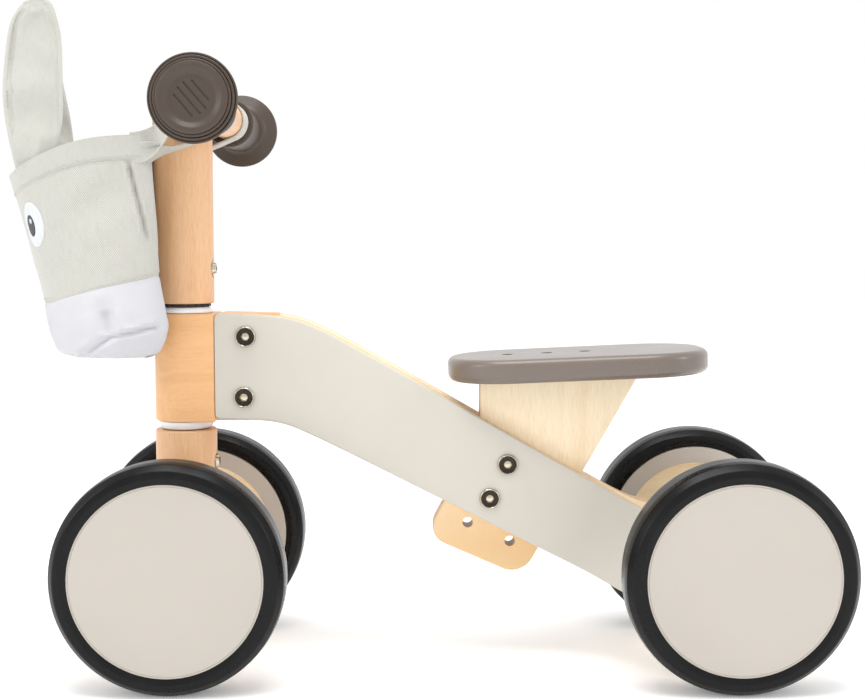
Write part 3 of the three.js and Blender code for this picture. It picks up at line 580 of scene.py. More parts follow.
def disc_profile():
    """The wooden disc, bored for its bearing, with a broad recess on its inner side."""
    inner, outer, bore, seat, seat_floor = 1 - WHEEL_FACE, 11, 8.3, 14, 1.5
    return rounded([
        (DISC_RADIUS, inner, 0.6), (DISC_RADIUS, outer, 0), (seat, outer, 0), (seat, seat_floor, 0),
        (bore, seat_floor, 0), (bore, RECESS_FLOOR, 0.3), (RECESS_RADIUS, RECESS_FLOOR, 1.2),
        (RECESS_RADIUS, inner, 0.8),
    ], steps=4)


def bearing_profile():
    """A flanged bush that lies in the disc's bore."""
    bore, tube, flange, seat, end = 4.3, 8, 11, RECESS_FLOOR - GAP, 2
    face = seat - 1.2
    return rounded([
        (bore, face, 0.3), (flange, face, 0.4), (flange, seat, 0), (tube, seat, 0), (tube, end, 0),
        (bore, end, 0),
    ], steps=3)


def disc_paint(radius, along):
    """The second material, paint, covers the disc's inner face as far as the recess."""
    return int(radius > RECESS_RADIUS + 0.2 and along < 0)


def wheel(name, side):
    centre = [middle(f"{name}_tyre", axis) for axis in "xyz"]
    parts = (
        ("tyre", tyre_profile(), [TYRE], "tyre", None),
        ("wheel_disc", disc_profile(), [WHEEL_WOOD, WHEEL_PAINT], "wheel_wood", disc_paint),
        ("wheel_cover", cover_profile(), [WHEEL_PAINT], "cream_paint", None),
        ("wheel_bearing", bearing_profile(), [WHITE_PLASTIC], "white_plastic", None),
    )
    for part, profile, materials, slot, paint in parts:
        made = turned(f"{name}_{part}_fine", profile, "y", centre, materials, f"{name}_wheel", sides=128,
                      side=side, paint=paint)
        stand_in(f"{name}_{part}", slot)


for end in ("front", "rear"):
    for side_name, side_sign in SIDES.items():
        wheel(f"{end}_{side_name}", side_sign)


# ---- Side panels ----

PANEL_THICKNESS = 11.5
PANEL_OUTER = 20.5
PANEL_MIDDLE = PANEL_OUTER - PANEL_THICKNESS / 2
PANEL_SLOPE = math.radians(28.6)
PANEL_FLARE = 30
FLARE_LENGTH = 75
FLARE_START = (-273, 95)
PANEL_FRONT = span("left_side_panel", "x")[1]
REAR_END_RADIUS = 27
UPPER_EDGE = {"front": 240, "bend": -77, "fall": 0.575, "rounding": 10}
LOWER_EDGE = {"front": 168.8, "bend": -67, "fall": 0.512, "rounding": 7}
REAR_ROUNDING = 6
PANEL_EDGE = 1.6
FRONT_CORNER = 3
PAINT_EDGE = PANEL_THICKNESS / 2 - 1.05


def flare_at(distance):
    """How far the bend carries a panel outwards at a distance down its slope, and how steeply it does so."""
    radius = FLARE_LENGTH / (2 * math.sin(2 * math.atan(PANEL_FLARE / FLARE_LENGTH)))
    along = max(0, min(FLARE_LENGTH, distance))
    from_end = min(along, FLARE_LENGTH - along)
    drop = math.sqrt(radius**2 - from_end**2)
    rise = radius - drop
    return rise if along < FLARE_LENGTH / 2 else PANEL_FLARE - rise, from_end / drop


def edge_height(edge, x, side):
    """The height of a panel's upper or lower edge: level, then down a slope, then round the rear end."""
    slope = edge["front"] + (x - edge["bend"]) * edge["fall"]
    lowered = (edge["front"] + slope - math.hypot(edge["front"] - slope, edge["rounding"])) / 2
    behind = max(0, REAR_AXLE_X - x)
    end = AXLE_HEIGHT + side * math.sqrt(max(REAR_END_RADIUS**2 - behind**2, 0))
    if behind > 0:
        return end
    height = (lowered + end + math.hypot(lowered - end, REAR_ROUNDING)) / 2
    from_front = PANEL_FRONT - x
    if from_front < FRONT_CORNER:
        height -= side * (FRONT_CORNER - math.sqrt(FRONT_CORNER**2 - (FRONT_CORNER - from_front) ** 2))
    return height


def panel_point(x, z, across):
    """A point of a panel: across is the distance from the middle of its thickness, before the bend."""
    rearwards, downwards = math.cos(PANEL_SLOPE), math.sin(PANEL_SLOPE)
    offset, steepness = flare_at((FLARE_START[0] - x) * rearwards + (FLARE_START[1] - z) * downwards)
    length = math.hypot(1, steepness)
    lean = across * steepness / length
    return x + lean * rearwards, PANEL_MIDDLE + offset + across / length, z + lean * downwards


def panel_section(x, gone):
    """The ring of (z, across) round a panel at one place, with its long edges rounded over."""
    top = edge_height(UPPER_EDGE, x, 1) - gone
    bottom = edge_height(LOWER_EDGE, x, -1) + gone
    half = PANEL_THICKNESS / 2 - gone
    edge = min(PANEL_EDGE, (top - bottom) / 3, half)
    quarter = [k * math.pi / 8 for k in range(5)]
    lower = [(bottom + edge * (1 - math.cos(a)), half - edge * (1 - math.sin(a))) for a in quarter]
    face = [(bottom + (top - bottom) * share, half) for share in (0.2, 0.4, 0.6, 0.8)]
    upper = [(top - edge * (1 - math.sin(a)), half - edge * (1 - math.cos(a))) for a in quarter]
    outer = lower + face + upper
    return outer + [(z, -across) for z, across in reversed(outer)]


def panel_stations():
    """Places along a panel from front to rear, close together where its shape changes."""
    bend_start, slope_start, flare_start = -52, -110, -250

    def spread(start, end, count):
        return [start + (end - start) * k / count for k in range(count)]

    corner = [PANEL_FRONT - 0.01 - FRONT_CORNER * (1 - math.cos(k * math.pi / 12)) for k in range(6)]
    level = spread(PANEL_FRONT - FRONT_CORNER, bend_start, 3)
    bend = spread(bend_start, slope_start, 24)
    slope = spread(slope_start, flare_start, 6)
    flare = spread(flare_start, REAR_AXLE_X, 48)
    end = [REAR_AXLE_X - REAR_END_RADIUS * math.sin(k * math.pi / 40) for k in range(20)]
    return corner + level + bend + slope + flare + end


def panel_finish(depths):
    """The material of a face: paint on the outer side, edge wood, or veneer on the inner side."""
    if min(depths) > PAINT_EDGE:
        return 0
    return 2 if max(depths) < -PAINT_EDGE else 1


def side_panel(name, side):
    rings = [(PANEL_FRONT, PANEL_EDGE / 2)] + [(x, 0) for x in panel_stations()]
    vertices, depths = [], []
    for x, gone in rings:
        section = panel_section(x, gone)
        for z, across in section:
            px, py, pz = panel_point(x, z, across)
            vertices.append((px, side * py, pz))
            depths.append(across)
    faces = tube_faces(len(rings), len(section))
    kinds = [panel_finish([depths[i] for i in face]) for face in faces]
    materials = [CREAM, PANEL_EDGE_WOOD, PANEL_VENEER]
    panel = build(f"{name}_side_panel_fine", vertices, faces, materials, "frame", kinds=kinds)
    across = panel.data.attributes.new("across", "FLOAT", "POINT")
    across.data.foreach_set("value", [depth + PANEL_THICKNESS / 2 for depth in depths])
    stand_in(f"{name}_side_panel", "cream_paint")


for side_name, side_sign in SIDES.items():
    side_panel(side_name, side_sign)


# ---- Head block, bushes and steering column ----

SHAFT_BORE = 6.3


def head_block():
    """A post with a round front, and a tenon at its rear that goes between the panels."""
    shoulder, tenon, tenon_end = -22.5, 8.7, -64
    turn = [math.radians(-90 + 180 * k / 40) for k in range(41)]
    front = [(BLOCK_RADIUS * math.cos(a), BLOCK_RADIUS * math.sin(a), 0) for a in turn]
    rear = [
        (shoulder, BLOCK_RADIUS, 1.6), (shoulder, tenon, 0), (tenon_end, tenon, 0), (tenon_end, -tenon, 0),
        (shoulder, -tenon, 0), (shoulder, -BLOCK_RADIUS, 1.6),
    ]
    outline = rounded(front + rear)
    block = slab("head_block_fine", outline, BLOCK_BOTTOM, BLOCK_TOP, 1.2, "z", [BEECH_BLOCK], "frame")
    stand_in("head_block", "beech")


def bushes():
    """The white flanged bushes that the steering shaft turns in, above and below the head block."""
    upper, lower = span("upper_bush", "z")[1], span("lower_bush", "z")[0]
    tube, lip, flange, length = 12, 16.8, 18.6, 22
    for name, face, side, thickness in (("upper_bush", upper, 1, upper - BLOCK_TOP),
                                        ("lower_bush", lower, -1, BLOCK_BOTTOM - lower)):
        seat = GAP - thickness
        profile = rounded([
            (SHAFT_BORE, 0, 0), (lip, 0, 2), (flange, -thickness * 0.6, 0.8), (flange, seat, 0.2),
            (tube, seat, 0), (tube, -length, 0), (SHAFT_BORE, -length, 0),
        ], steps=4)
        bush = turned(f"{name}_fine", profile, "z", (0, 0, face), [WHITE_PLASTIC], "frame", side=side)
        stand_in(name, "white_plastic")


def steering_stop():
    """The toothed friction ring between the stem and the upper bush."""
    low, high = span("upper_bush", "z")[1] + GAP, span("steering_stop", "z")[1]
    teeth, tip, root = 20, 17.6, 16.5
    outline = []
    for tooth in range(teeth):
        for place, radius in ((0.1, tip), (0.45, tip), (0.6, root), (0.95, root)):
            a = 2 * math.pi * (tooth + place) / teeth
            outline.append(Vector((radius * math.cos(a), radius * math.sin(a))))
    ring = slab("steering_stop_fine", outline, low, high, 0.3, "z", [BLACK_PLASTIC], "steering", steps=2)
    drill(ring, rod(SHAFT_BORE, "z", low - 1, high + 1, (0, 0)))
    stand_in("steering_stop", "black_plastic")


def stem(node, radius, foot, top, *holes):
    """A turned post with rounded ends, bored from the rear for its bolt, and with any other holes."""
    low, high = span(node, "z")
    profile = rounded([(0, low, 0), (radius, low, foot), (radius, high, top), (0, high, 0)], steps=6)
    made = turned(f"{node}_fine", profile, "z", (0, 0, 0), [BEECH], "steering")
    at = (0, middle(f"{node}_bolt", "z"))
    bore = rod(3.3, "x", -radius - 2, radius - 4, at)
    recess = rod(6.2, "x", -radius - 2, 2 - radius, at)
    drill(made, *holes, bore, recess)
    stand_in(node, "beech")


def connector(name, side):
    """One head of a connector bolt or its sleeve nut, of dark plating, with bright metal on its collar and in its
    socket as painted highlights.
    """
    shank, tip, collar, face_edge, socket_edge, socket_size = 2.9, -2, 7, 6, 2.7, 2.9
    seat = PANEL_OUTER + GAP
    face = seat + 2.2
    profile = rounded([
        (0, tip, 0), (shank, tip, 0), (shank, seat, 0), (collar, seat, 0.2), (collar, seat + 1.1, 0.4),
        (face_edge + 0.3, face, 0.3), (face_edge, face - 0.6, 0.1), (socket_edge, face - 0.5, 0.2),
        (socket_edge - 0.4, face - 1.8, 0), (0, face - 1.15, 0),
    ], steps=3)

    # painted highlights: the collar and the socket get bright metal where a head of one dark plating catches the
    # light
    def bright(radius, along):
        return int(radius > face_edge - 0.05 or radius < socket_edge - 0.1)

    x, z = middle(name, "x"), middle(name, "z")
    head = turned(f"{name}_fine", profile, "y", (x, 0, z), [NICKEL, BRIGHT], "frame", sides=64, side=side,
                  paint=bright)
    reach = sorted((side * (face - 1.1), side * (face + 1)))
    drill(head, rod(socket_size, "y", *reach, (x, z), sides=6))
    stand_in(name, "black_nickel")


head_block()
bushes()
steering_stop()
stem("upper_stem", STEM_RADIUS, 1.2, 4, rod(BAR_RADIUS + GAP, "y", -30, 30, (BAR_X, BAR_Z), sides=64))
stem("lower_stem", FORK_RADIUS, 3, 1.2)
for place in ("head_upper", "head_lower", "post_upper", "post_lower"):
    connector(f"{place}_bolt", 1)
    connector(f"{place}_nut", -1)


# ---- Seat and its post ----

SEAT_TILT = math.radians(2.4)
SEAT_ROOT = Vector((-267.5, 0, 196.2))
SEAT_THICKNESS = 16
SEAT_HALF_LENGTH = 88
SEAT_HALF_WIDTH = 50
SEAT_TAPER = 3
SEAT_SCREWS = (47, 20, -6)
SCREW_HEAD = 3.6
SPARE_HOLES = ((-192.5, 95.6), (-221.3, 82.5))


def on_seat(piece, node, slot):
    """Sets a piece made level, on the middle of the seat's underside, in the seat's tilted place."""
    turn = Matrix.Rotation(SEAT_TILT, 4, "Y")
    place = Matrix.Translation(ORIGIN + SEAT_ROOT * MM) @ turn @ Matrix.Translation(-ORIGIN)
    piece.data.transform(place)
    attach(piece, "frame")
    stand_in(node, slot)


def seat():
    length, rear, front = SEAT_HALF_LENGTH, SEAT_HALF_WIDTH, SEAT_HALF_WIDTH - SEAT_TAPER
    outline = rounded([(-length, -rear, 42), (length, -front, 44), (length, front, 44), (-length, rear, 42)],
                      steps=24)
    made = slab("seat_fine", outline, 0, SEAT_THICKNESS, 4.8, "z", [TAUPE], None, steps=10)
    floor, above = SEAT_THICKNESS - 3.9, SEAT_THICKNESS + 4
    drill(made, *(rod(SCREW_HEAD + GAP, "z", floor, above, (ahead, 0)) for ahead in SEAT_SCREWS))
    on_seat(made, "seat", "taupe_paint")


def seat_screw(number, ahead):
    """A countersunk screw with a cross recess, a little below the seat's top."""
    top, shank, tip = SEAT_THICKNESS - 0.4, 1.8, -22
    profile = rounded([
        (0, tip, 0), (shank, tip + 4, 0), (shank, top - 3, 0), (SCREW_HEAD, top - 1, 0),
        (SCREW_HEAD, top, 0.3), (0, top, 0),
    ], steps=3)
    made = turned(f"seat_screw_{number}_fine", profile, "z", (ahead, 0, 0), [BRIGHT], None, sides=40)
    bars = []
    for length, breadth in ((2.2, 0.45), (0.45, 2.2)):
        cross = [Vector((ahead + x * length, y * breadth)) for x, y in RECTANGLE]
        bars.append(slab("cutter", cross, top - 1.2, top + 1, 0, "z", [], None))
    drill(made, *bars)
    on_seat(made, f"seat_screw_{number}", "steel")


def seat_post():
    """A board that holds the seat between the panels, with two spare holes in the tab below them."""
    half_thickness = size("seat_post", "y") / 2
    front, rear = -200.6, -309.5

    def underside(x):
        return SEAT_ROOT.z - (x - SEAT_ROOT.x) * math.tan(SEAT_TILT) - GAP

    outline = rounded([
        (rear, underside(rear), 0.5), (-229.5, 57.5, 16), (-163.5, 86.5, 13), (front, 156, 30),
        (front, underside(front), 0.5),
    ], steps=10)
    post = slab("seat_post_fine", outline, -half_thickness, half_thickness, 1.8, "y", [BIRCH], "frame")
    drill(post, *(rod(3.6, "y", -20, 20, place, sides=40) for place in SPARE_HOLES))
    stand_in("seat_post", "birch")


seat()
for screw_number, screw_place in enumerate(SEAT_SCREWS, 1):
    seat_screw(screw_number, screw_place)
seat_post()


# ---- Handlebar and grips ----

GRIP_START, GRIP_END = span("left_grip", "y")
GRIP_DISC = size("left_grip", "z") / 2


def handlebar():
    end = BAR_HALF_LENGTH
    profile = rounded([(0, -end, 0), (BAR_RADIUS, -end, 1), (BAR_RADIUS, end, 1), (0, end, 0)])
    bar = turned("handlebar_fine", profile, "y", (BAR_X, 0, BAR_Z), [BEECH_BAR], "steering")
    stand_in("handlebar", "beech")


def grip_slots(side, floor):
    """Cutters for the four slanting slots in the middle of a grip's end."""
    slant, pitch, half_width = math.radians(49.5), 4.5, 0.6
    along = Vector((-math.cos(slant), -math.sin(slant)))
    across = Vector((math.sin(slant), -math.cos(slant)))
    reach = sorted((side * (floor - 0.7), side * (GRIP_END + 1)))
    cutters = []
    for place, length in ((1.5, 17.2), (0.5, 21), (-0.5, 20.6), (-1.5, 15.5)):
        centre = Vector((BAR_X, BAR_Z)) + across * place * pitch
        half = length / 2
        corners = [centre + along * x * half + across * y * half_width for x, y in RECTANGLE]
        outline = rounded([(*corner, half_width * 0.98) for corner in corners], steps=6)
        cutters.append(slab("cutter", outline, *reach, 0, "y", [], None))
    return cutters


def grip(name, side):
    """A rubber grip: a collar, a plain tube, and a dished disc whose end steps up to a shallow bowl."""
    bore, collar, tube, floor = BAR_RADIUS + GAP, 17, 15.4, GRIP_END - 2.7
    steps = []
    for outer, inner, height in ((GRIP_DISC, 25.6, 4.6), (25, 23.6, 3.1), (23, 21.6, 1.6)):
        level = GRIP_END - height
        steps += [(outer, level, 0.6), (inner, level, 0.3), (inner - 0.3, level - 0.9, 0)]
    profile = rounded([
        (0, BAR_HALF_LENGTH + GAP, 0), (bore, BAR_HALF_LENGTH + GAP, 0), (bore, GRIP_START, 0.4),
        (collar, GRIP_START, 1.2), (collar, GRIP_START + 3.6, 1.2), (tube, GRIP_START + 4.8, 0.6),
        (tube, GRIP_END - 12, 7), (GRIP_DISC, GRIP_END - 7.4, 1.2), *steps, (21.5, GRIP_END - 0.6, 0.6),
        (18.2, GRIP_END, 3), (14, floor, 4.5), (0, floor, 0),
    ], steps=5)
    made = turned(f"{name}_grip_fine", profile, "y", (BAR_X, 0, BAR_Z), [GRIP], "steering", sides=128,
                  side=side)
    drill(made, *grip_slots(side, floor))
    stand_in(f"{name}_grip", "grip_rubber")


handlebar()
for side_name, side_sign in SIDES.items():
    grip(side_name, side_sign)


# ---- Fabric bag ----

BAG_BASE = [(82, 0), (79, 24), (66, 46), (42, 56), (18, 56), (4, 47), (13, 26), (21.5, 0)]
BAG_RIM = [(113, 0), (109, 25), (96, 46), (68, 57), (36, 58), (14, 53), (18, 27), (22.5, 0)]
BAG_FLOOR = span("bag_body", "z")[0]
BAG_WALL = 1.8
HEM = 15
BAG_CENTRE = (44, 0)
BAG_CORNER = 6
BAG_COLUMNS = 240
SEAM_ROW, HEM_ROW, RIM_ROW = 26, 56, 66
ROW_STEP = 0.004                    # the height of the narrow rows at the seam and at the hem's lower edge
SEAM_FRONT, SEAM_LENGTH = 85, 75
SEAM_FRONT_HEIGHT, SEAM_CLIMB = 0.272, 0.097
RIM_FRONT, RIM_FRONT_HEIGHT, RIM_CLIMB = 104, 331.5, 0.255
RIM_ARCH, RIM_ARCH_LENGTH = 7, 90
HEEL_FRONT, HEEL_LENGTH, HEEL_HEIGHT, HEEL_DEPTH = 34, 24, 22, 8
CLOTH_AROUND, CLOTH_UP, CLOTH_ACROSS_FLOOR = 330, 128, 50
SIDE_FACE = 30                      # the side faces lie further than this from the bag's middle plane
FOLDS = [                           # on the side faces: from (x, z) to (x, z), how deep and how wide
    ((9, 233), (38, 226), 2.7, 1.6), ((38, 228), (41, 243), 3.6, 4.8), ((38, 226), (61, 212), 2.9, 1.9),
    ((25, 338), (14, 288), 3, 1.4), ((72, 214), (80, 238), 1.6, 5), ((62, 300), (28, 322), 1.2, 8),
]
EYE_PARTS = (                       # turn round the bag, height, half width and height, how far out, cloth
    ("patch", 0.131, 0.68, 10, 15.5, 0.6, EYE_WHITE),
    ("dark", 0.127, 0.675, 4, 7.5, 0.9, EYE_DARK),
    ("glint", 0.13, 0.698, 1.2, 1.7, 1.1, EYE_WHITE),
)


def limited(value):
    return max(0, min(1, value))


def hill(distance, width):
    """A smooth hill of height 1 at no distance, which falls to nothing at about twice its width."""
    return math.exp(-((distance / width) ** 2))


def on_curve(a, b, c, d, t):
    """A place on a smooth curve through four points, between b and c, t going from 0 to 1."""
    a, b, c, d = Vector(a), Vector(b), Vector(c), Vector(d)
    return (b * 2 + (c - a) * t + (a * 2 - b * 5 + c * 4 - d) * t**2 + (b * 3 - a - c * 3 + d) * t**3) / 2


def mirrored(half):
    return half + [(x, -y) for x, y in half[-2:0:-1]]


def round_loop(corners, turn):
    """A smooth closed curve through its corners. The turn goes from 0 to 1 round it."""
    place = turn * len(corners)
    first = math.floor(place)
    return on_curve(*(corners[(first + k) % len(corners)] for k in (-1, 0, 1, 2)), place - first)


def bag_plan(turn, height):
    return round_loop(mirrored(BAG_BASE), turn).lerp(round_loop(mirrored(BAG_RIM), turn), height)


def rim_line(x):
    """The height of the bag's rim without its arch."""
    return RIM_FRONT_HEIGHT + (RIM_FRONT - x) * RIM_CLIMB


def bag_rim_height(x):
    """The rim climbs towards the rear and arches up between the ears and the straps."""
    return rim_line(x) + RIM_ARCH * math.sin(math.pi * limited((RIM_FRONT - x) / RIM_ARCH_LENGTH))


def near_fold(place, fold):
    """How much a fold presses in at a place on a side face, with a faint ridge beside it."""
    start, end, depth, width = fold
    start, end, here = Vector(start), Vector(end), Vector((place.x, place.z))
    share = limited((here - start).dot(end - start) / (end - start).length_squared)
    widths_off = (here - start.lerp(end, share)).length / width
    fade = min(1, 4 * (1 - abs(2 * share - 1)) + 0.35)
    return depth * fade * (hill(widths_off, 1) - 0.45 * hill(widths_off - 2, 1))


def bag_relief(place, height, to_seam, to_hem):
    """How far the cloth stands out from a smooth bag: slack, sag, folds, sewn seams and the double hem."""
    slack = 1.3 * noise.noise(place * 0.028) + 0.45 * noise.noise(place * 0.075)
    out = slack * math.sin(math.pi * min(1, height + 0.12)) + 2.2 * hill(height - 0.16, 0.13)
    if abs(place.y) > SIDE_FACE:
        out -= sum(near_fold(place, fold) for fold in FOLDS)
    out -= 0.7 * hill(to_seam, 1.3)
    out += 0.45 if to_hem > 0 else 0
    out -= 0.5 * hill(to_hem + 0.6, 1.2)
    return out


def bag_point(turn, height, out=0.0):
    """A point on the bag's outside, height going from 0 at the floor to 1 at the rim."""
    plan = bag_plan(turn, height)
    ahead = bag_plan(turn + 0.002, height) - bag_plan(turn - 0.002, height)
    normal = Vector((ahead.y, -ahead.x)).normalized()
    rise = bag_rim_height(plan.x) - BAG_FLOOR
    above = height * rise
    place = Vector((plan.x, plan.y, BAG_FLOOR + above))
    relief = bag_relief(place, height, (height - seam_height(plan.x)) * rise, (height - 1) * rise + HEM)
    corner = max(0, 1 - above / BAG_CORNER)
    relief -= BAG_CORNER * (1 - math.sqrt(1 - corner**2))
    heel = limited((HEEL_FRONT - plan.x) / HEEL_LENGTH)
    relief -= HEEL_DEPTH * max(0, 1 - above / HEEL_HEIGHT) ** 2 * heel
    return place + normal.to_3d() * (relief + out)


def seam_height(x):
    """The height of the seam between the white base and the grey cloth, which climbs towards the rear."""
    return SEAM_FRONT_HEIGHT + SEAM_CLIMB * limited((SEAM_FRONT - x) / SEAM_LENGTH)


def bag_row(row, x):
    """Heights of the rows, so that rows run along the seam and along the hem's lower edge."""
    seam, hem = seam_height(x), 1 - HEM / (bag_rim_height(x) - BAG_FLOOR)
    stops = [
        (0, 0), (SEAM_ROW, seam), (SEAM_ROW + 1, seam + ROW_STEP),
        (HEM_ROW, hem - ROW_STEP), (HEM_ROW + 1, hem), (RIM_ROW, 1),
    ]
    for (first, low), (last, high) in zip(stops, stops[1:]):
        if row <= last:
            return low + (high - low) * (row - first) / (last - first)
    return 1


def bag():
    """Rows of points from the middle of the floor out and up the outside, over the rim, and down inside."""
    turns = [0.5 + k / BAG_COLUMNS for k in range(BAG_COLUMNS + 1)]
    floor_edge = [bag_point(turn, 0) for turn in turns]
    floor_shares = (0, 0.25, 0.5, 0.75, 0.92)
    vertices, uvs, kinds_by_row = [], [], []

    def add_row(points, height, kind):
        vertices.extend(points)
        uvs.extend((k / BAG_COLUMNS * CLOTH_AROUND, height) for k in range(len(points)))
        kinds_by_row.append(kind)

    def floor_rows(level, shares, kind):
        centre = Vector((*BAG_CENTRE, level))
        for share in shares:
            flat = [centre.lerp(Vector((point.x, point.y, level)), share) for point in floor_edge]
            points = [point + Vector((0, 0, 0.8 * noise.noise(point * 0.05))) * share for point in flat]
            add_row(points, share * CLOTH_ACROSS_FLOOR, kind)

    def wall_rows(rows, out, white_rows):
        for row in rows:
            points = [bag_point(turn, bag_row(row, bag_plan(turn, 0.5).x), out) for turn in turns]
            if out < 0 and row == 0:
                points = [point + Vector((0, 0, BAG_WALL)) for point in points]
            add_row(points, row / RIM_ROW * CLOTH_UP, int(row < white_rows))

    floor_rows(BAG_FLOOR, floor_shares, 1)
    wall_rows(range(RIM_ROW + 1), 0, SEAM_ROW)
    wall_rows(range(RIM_ROW, -1, -1), -BAG_WALL, 0)
    floor_rows(BAG_FLOOR + BAG_WALL, reversed(floor_shares), 0)
    faces = sheet_faces(len(kinds_by_row), len(turns))
    kinds = [kind for kind in kinds_by_row[:-1] for _ in range(BAG_COLUMNS)]
    made = build("bag_body_fine", vertices, faces, [TWILL, WHITE_CLOTH], "steering", kinds=kinds,
                 sharp=CLOTH_SHARP, uvs=uvs)
    stand_in("bag_body", "twill")
    return made


def bag_line(height_at, out, start=0.03, end=0.97, count=420):
    """Points along the bag's outside at a height that depends on the place."""
    turns = [0.5 + start + (end - start) * k / count for k in range(count + 1)]
    return [bag_point(turn, height_at(bag_plan(turn, 0.7).x), out) for turn in turns]


def stitches(line, length, gap):
    """The two ends of each stitch of a given length along a line of points."""
    travelled = [0]
    for here, there in zip(line, line[1:]):
        travelled.append(travelled[-1] + (there - here).length)

    def at(distance):
        k = next(i for i in range(1, len(line)) if travelled[i] >= distance or i == len(line) - 1)
        share = (distance - travelled[k - 1]) / (travelled[k] - travelled[k - 1])
        return line[k - 1].lerp(line[k], share)

    for number in range(int(travelled[-1] / (length + gap))):
        begin = number * (length + gap)
        yield at(begin), at(begin + length)


def stitching(name, lines, body, length=1.9, gap=1.0, radius=0.26):
    """Rows of sewing thread: short rounded stitches that follow lines of points."""
    vertices, faces = [], []
    sides, sections = 6, ((0, 0.35), (0.2, 1), (0.8, 1), (1, 0.35))
    off_axis = Vector((0.3, 0.2, 0.93))
    for first, last in (ends for line in lines for ends in stitches(line, length, gap)):
        along = (last - first).normalized()
        right = along.cross(off_axis).normalized()
        up = along.cross(right)
        faces += tube_faces(len(sections), sides, len(vertices))
        for share, thick in sections:
            for k in range(sides):
                a = 2 * math.pi * k / sides
                outwards = right * math.cos(a) + up * math.sin(a)
                vertices.append(first.lerp(last, share) + outwards * radius * thick)
    made = build(name, vertices, faces, [THREAD], body, sharp=SEWN_SHARP)
    return made


def bag_patch(name, turn, height, half_width, half_height, out, material):
    """A small oval of cloth that lies on the bag."""
    around = (bag_plan(turn + 0.01, height) - bag_plan(turn - 0.01, height)).length / 0.02
    tall = bag_rim_height(bag_plan(turn, height).x) - BAG_FLOOR
    sides, rings = 48, [(1, -0.3), (1, out * 0.6), (0.97, out), (0.7, out), (0.4, out), (0.1, out)]
    vertices, uvs = [], []
    for share, lift in rings:
        for k in range(sides):
            a = 2 * math.pi * k / sides
            x, y = half_width * share * math.cos(a), half_height * share * math.sin(a)
            vertices.append(bag_point(turn + x / around, height + y / tall, lift))
            uvs.append((x, y))
    faces = tube_faces(len(rings), sides)
    made = build(name, vertices, faces, [material], "steering", uvs=uvs, sharp=CLOTH_SHARP)
    return made


def bag_with_details():
    body = bag()

    def hem_line(x):
        return 1 - (HEM - 1.6) / (bag_rim_height(x) - BAG_FLOOR)

    def above_seam(x):
        return seam_height(x) + 0.02

    pieces = [stitching("bag_stitching", [bag_line(hem_line, 0.15), bag_line(above_seam, 0.1)], "steering")]
    for name, side in SIDES.items():
        for part, turn, *shape in EYE_PARTS:
            pieces.append(bag_patch(f"{name}_eye_{part}", side * turn, *shape))


bag_with_details()


# ---- Ears ----

EAR_LEFT = [(-11, -12), (-13.5, 0), (-18.5, 17), (-20.5, 33), (-20.5, 72), (-18, 88), (-14, 98), (-3.5, 103)]
EAR_RIGHT = [(14, -12), (17, 0), (23.5, 25), (25, 47), (22, 72), (17, 88), (7, 99), (-3.5, 103)]
EARS = {                            # turn is from the bike's length, and nod bends the ear off its own plane
    "left": {"x": 88, "y": 40, "turn": -20, "lean": 0, "nod": 0},
    "right": {"x": 90, "y": -33, "turn": 62, "lean": 3, "nod": 11},
}
EAR_SEAM = 3.2
EAR_SWELL = 9                       # how far in from its seam an ear reaches its full thickness
EAR_SEWN_BELOW = -5
EAR_RISE = 5
EAR_HEIGHT = 103
EAR_ROWS, EAR_COLUMNS = 40, 14


def open_curve(corners, share):
    """A smooth curve through corners, share going from 0 at the first to 1 at the last."""
    last = len(corners) - 1
    place = share * last
    first = min(int(place), last - 1)
    return on_curve(*(corners[max(0, min(last, first + k))] for k in (-1, 0, 1, 2)), place - first)


def ear_rows():
    """The left and right end of each row across an ear, from its base to its tip."""
    for row in range(EAR_ROWS + 1):
        share = math.sin(row / EAR_ROWS * math.pi / 2) ** 0.9
        yield open_curve(EAR_LEFT, share), open_curve(EAR_RIGHT, share)


def ear_columns(width):
    """Distances across an ear, with a column on its edge seam at either side."""
    seam = min(EAR_SEAM, width / 5)
    inner = [seam + (width - 2 * seam) * k / EAR_COLUMNS for k in range(EAR_COLUMNS + 1)]
    return [0, seam / 2, *inner, width - seam / 2, width]


def ear_bow(point):
    """How far an ear's middle surface stands off its flat plane."""
    slack = 0.9 * noise.noise(Vector((point.x, point.y, 7)) * 0.045)
    return slack + 1.6 * math.sin(math.pi * max(0, point.y) / EAR_HEIGHT)


def ear_place(x, y, turn, lean, nod):
    """From an ear's own plane, across and up, to the bag's rim."""
    place = Matrix.Translation((x, y, rim_line(x) + EAR_RISE))
    for angle, axis in ((turn, "Z"), (nod, "X"), (lean, "Y")):
        place = place @ Matrix.Rotation(math.radians(angle), 4, axis)
    return place


def inflated(piece, sewn, pressure=3, cap_mm=2.5, steps=20):
    """A short cloth simulation with a little air pressure, which puckers the cloth along its sewn points."""
    group = piece.vertex_groups.new(name="sewn")
    group.add(sewn, 1, "REPLACE")
    settings = piece.modifiers.new("cloth", "CLOTH").settings
    settings.vertex_group_mass = "sewn"
    settings.use_pressure = True
    settings.uniform_pressure_force = pressure
    settings.effector_weights.gravity = 0
    settings.bending_stiffness = 0.4
    settings.shrink_min = -0.03
    starts = [vertex.co.copy() for vertex in piece.data.vertices]
    for step in range(1, steps + 1):
        bpy.context.scene.frame_set(step)
    settled(piece)
    piece.vertex_groups.clear()
    for vertex, start in zip(piece.data.vertices, starts):
        moved = vertex.co - start
        if moved.length > cap_mm * MM:
            vertex.co = start + moved * (cap_mm * MM / moved.length)
    bpy.context.scene.frame_set(1)
    smooth(piece, SEWN_SHARP)


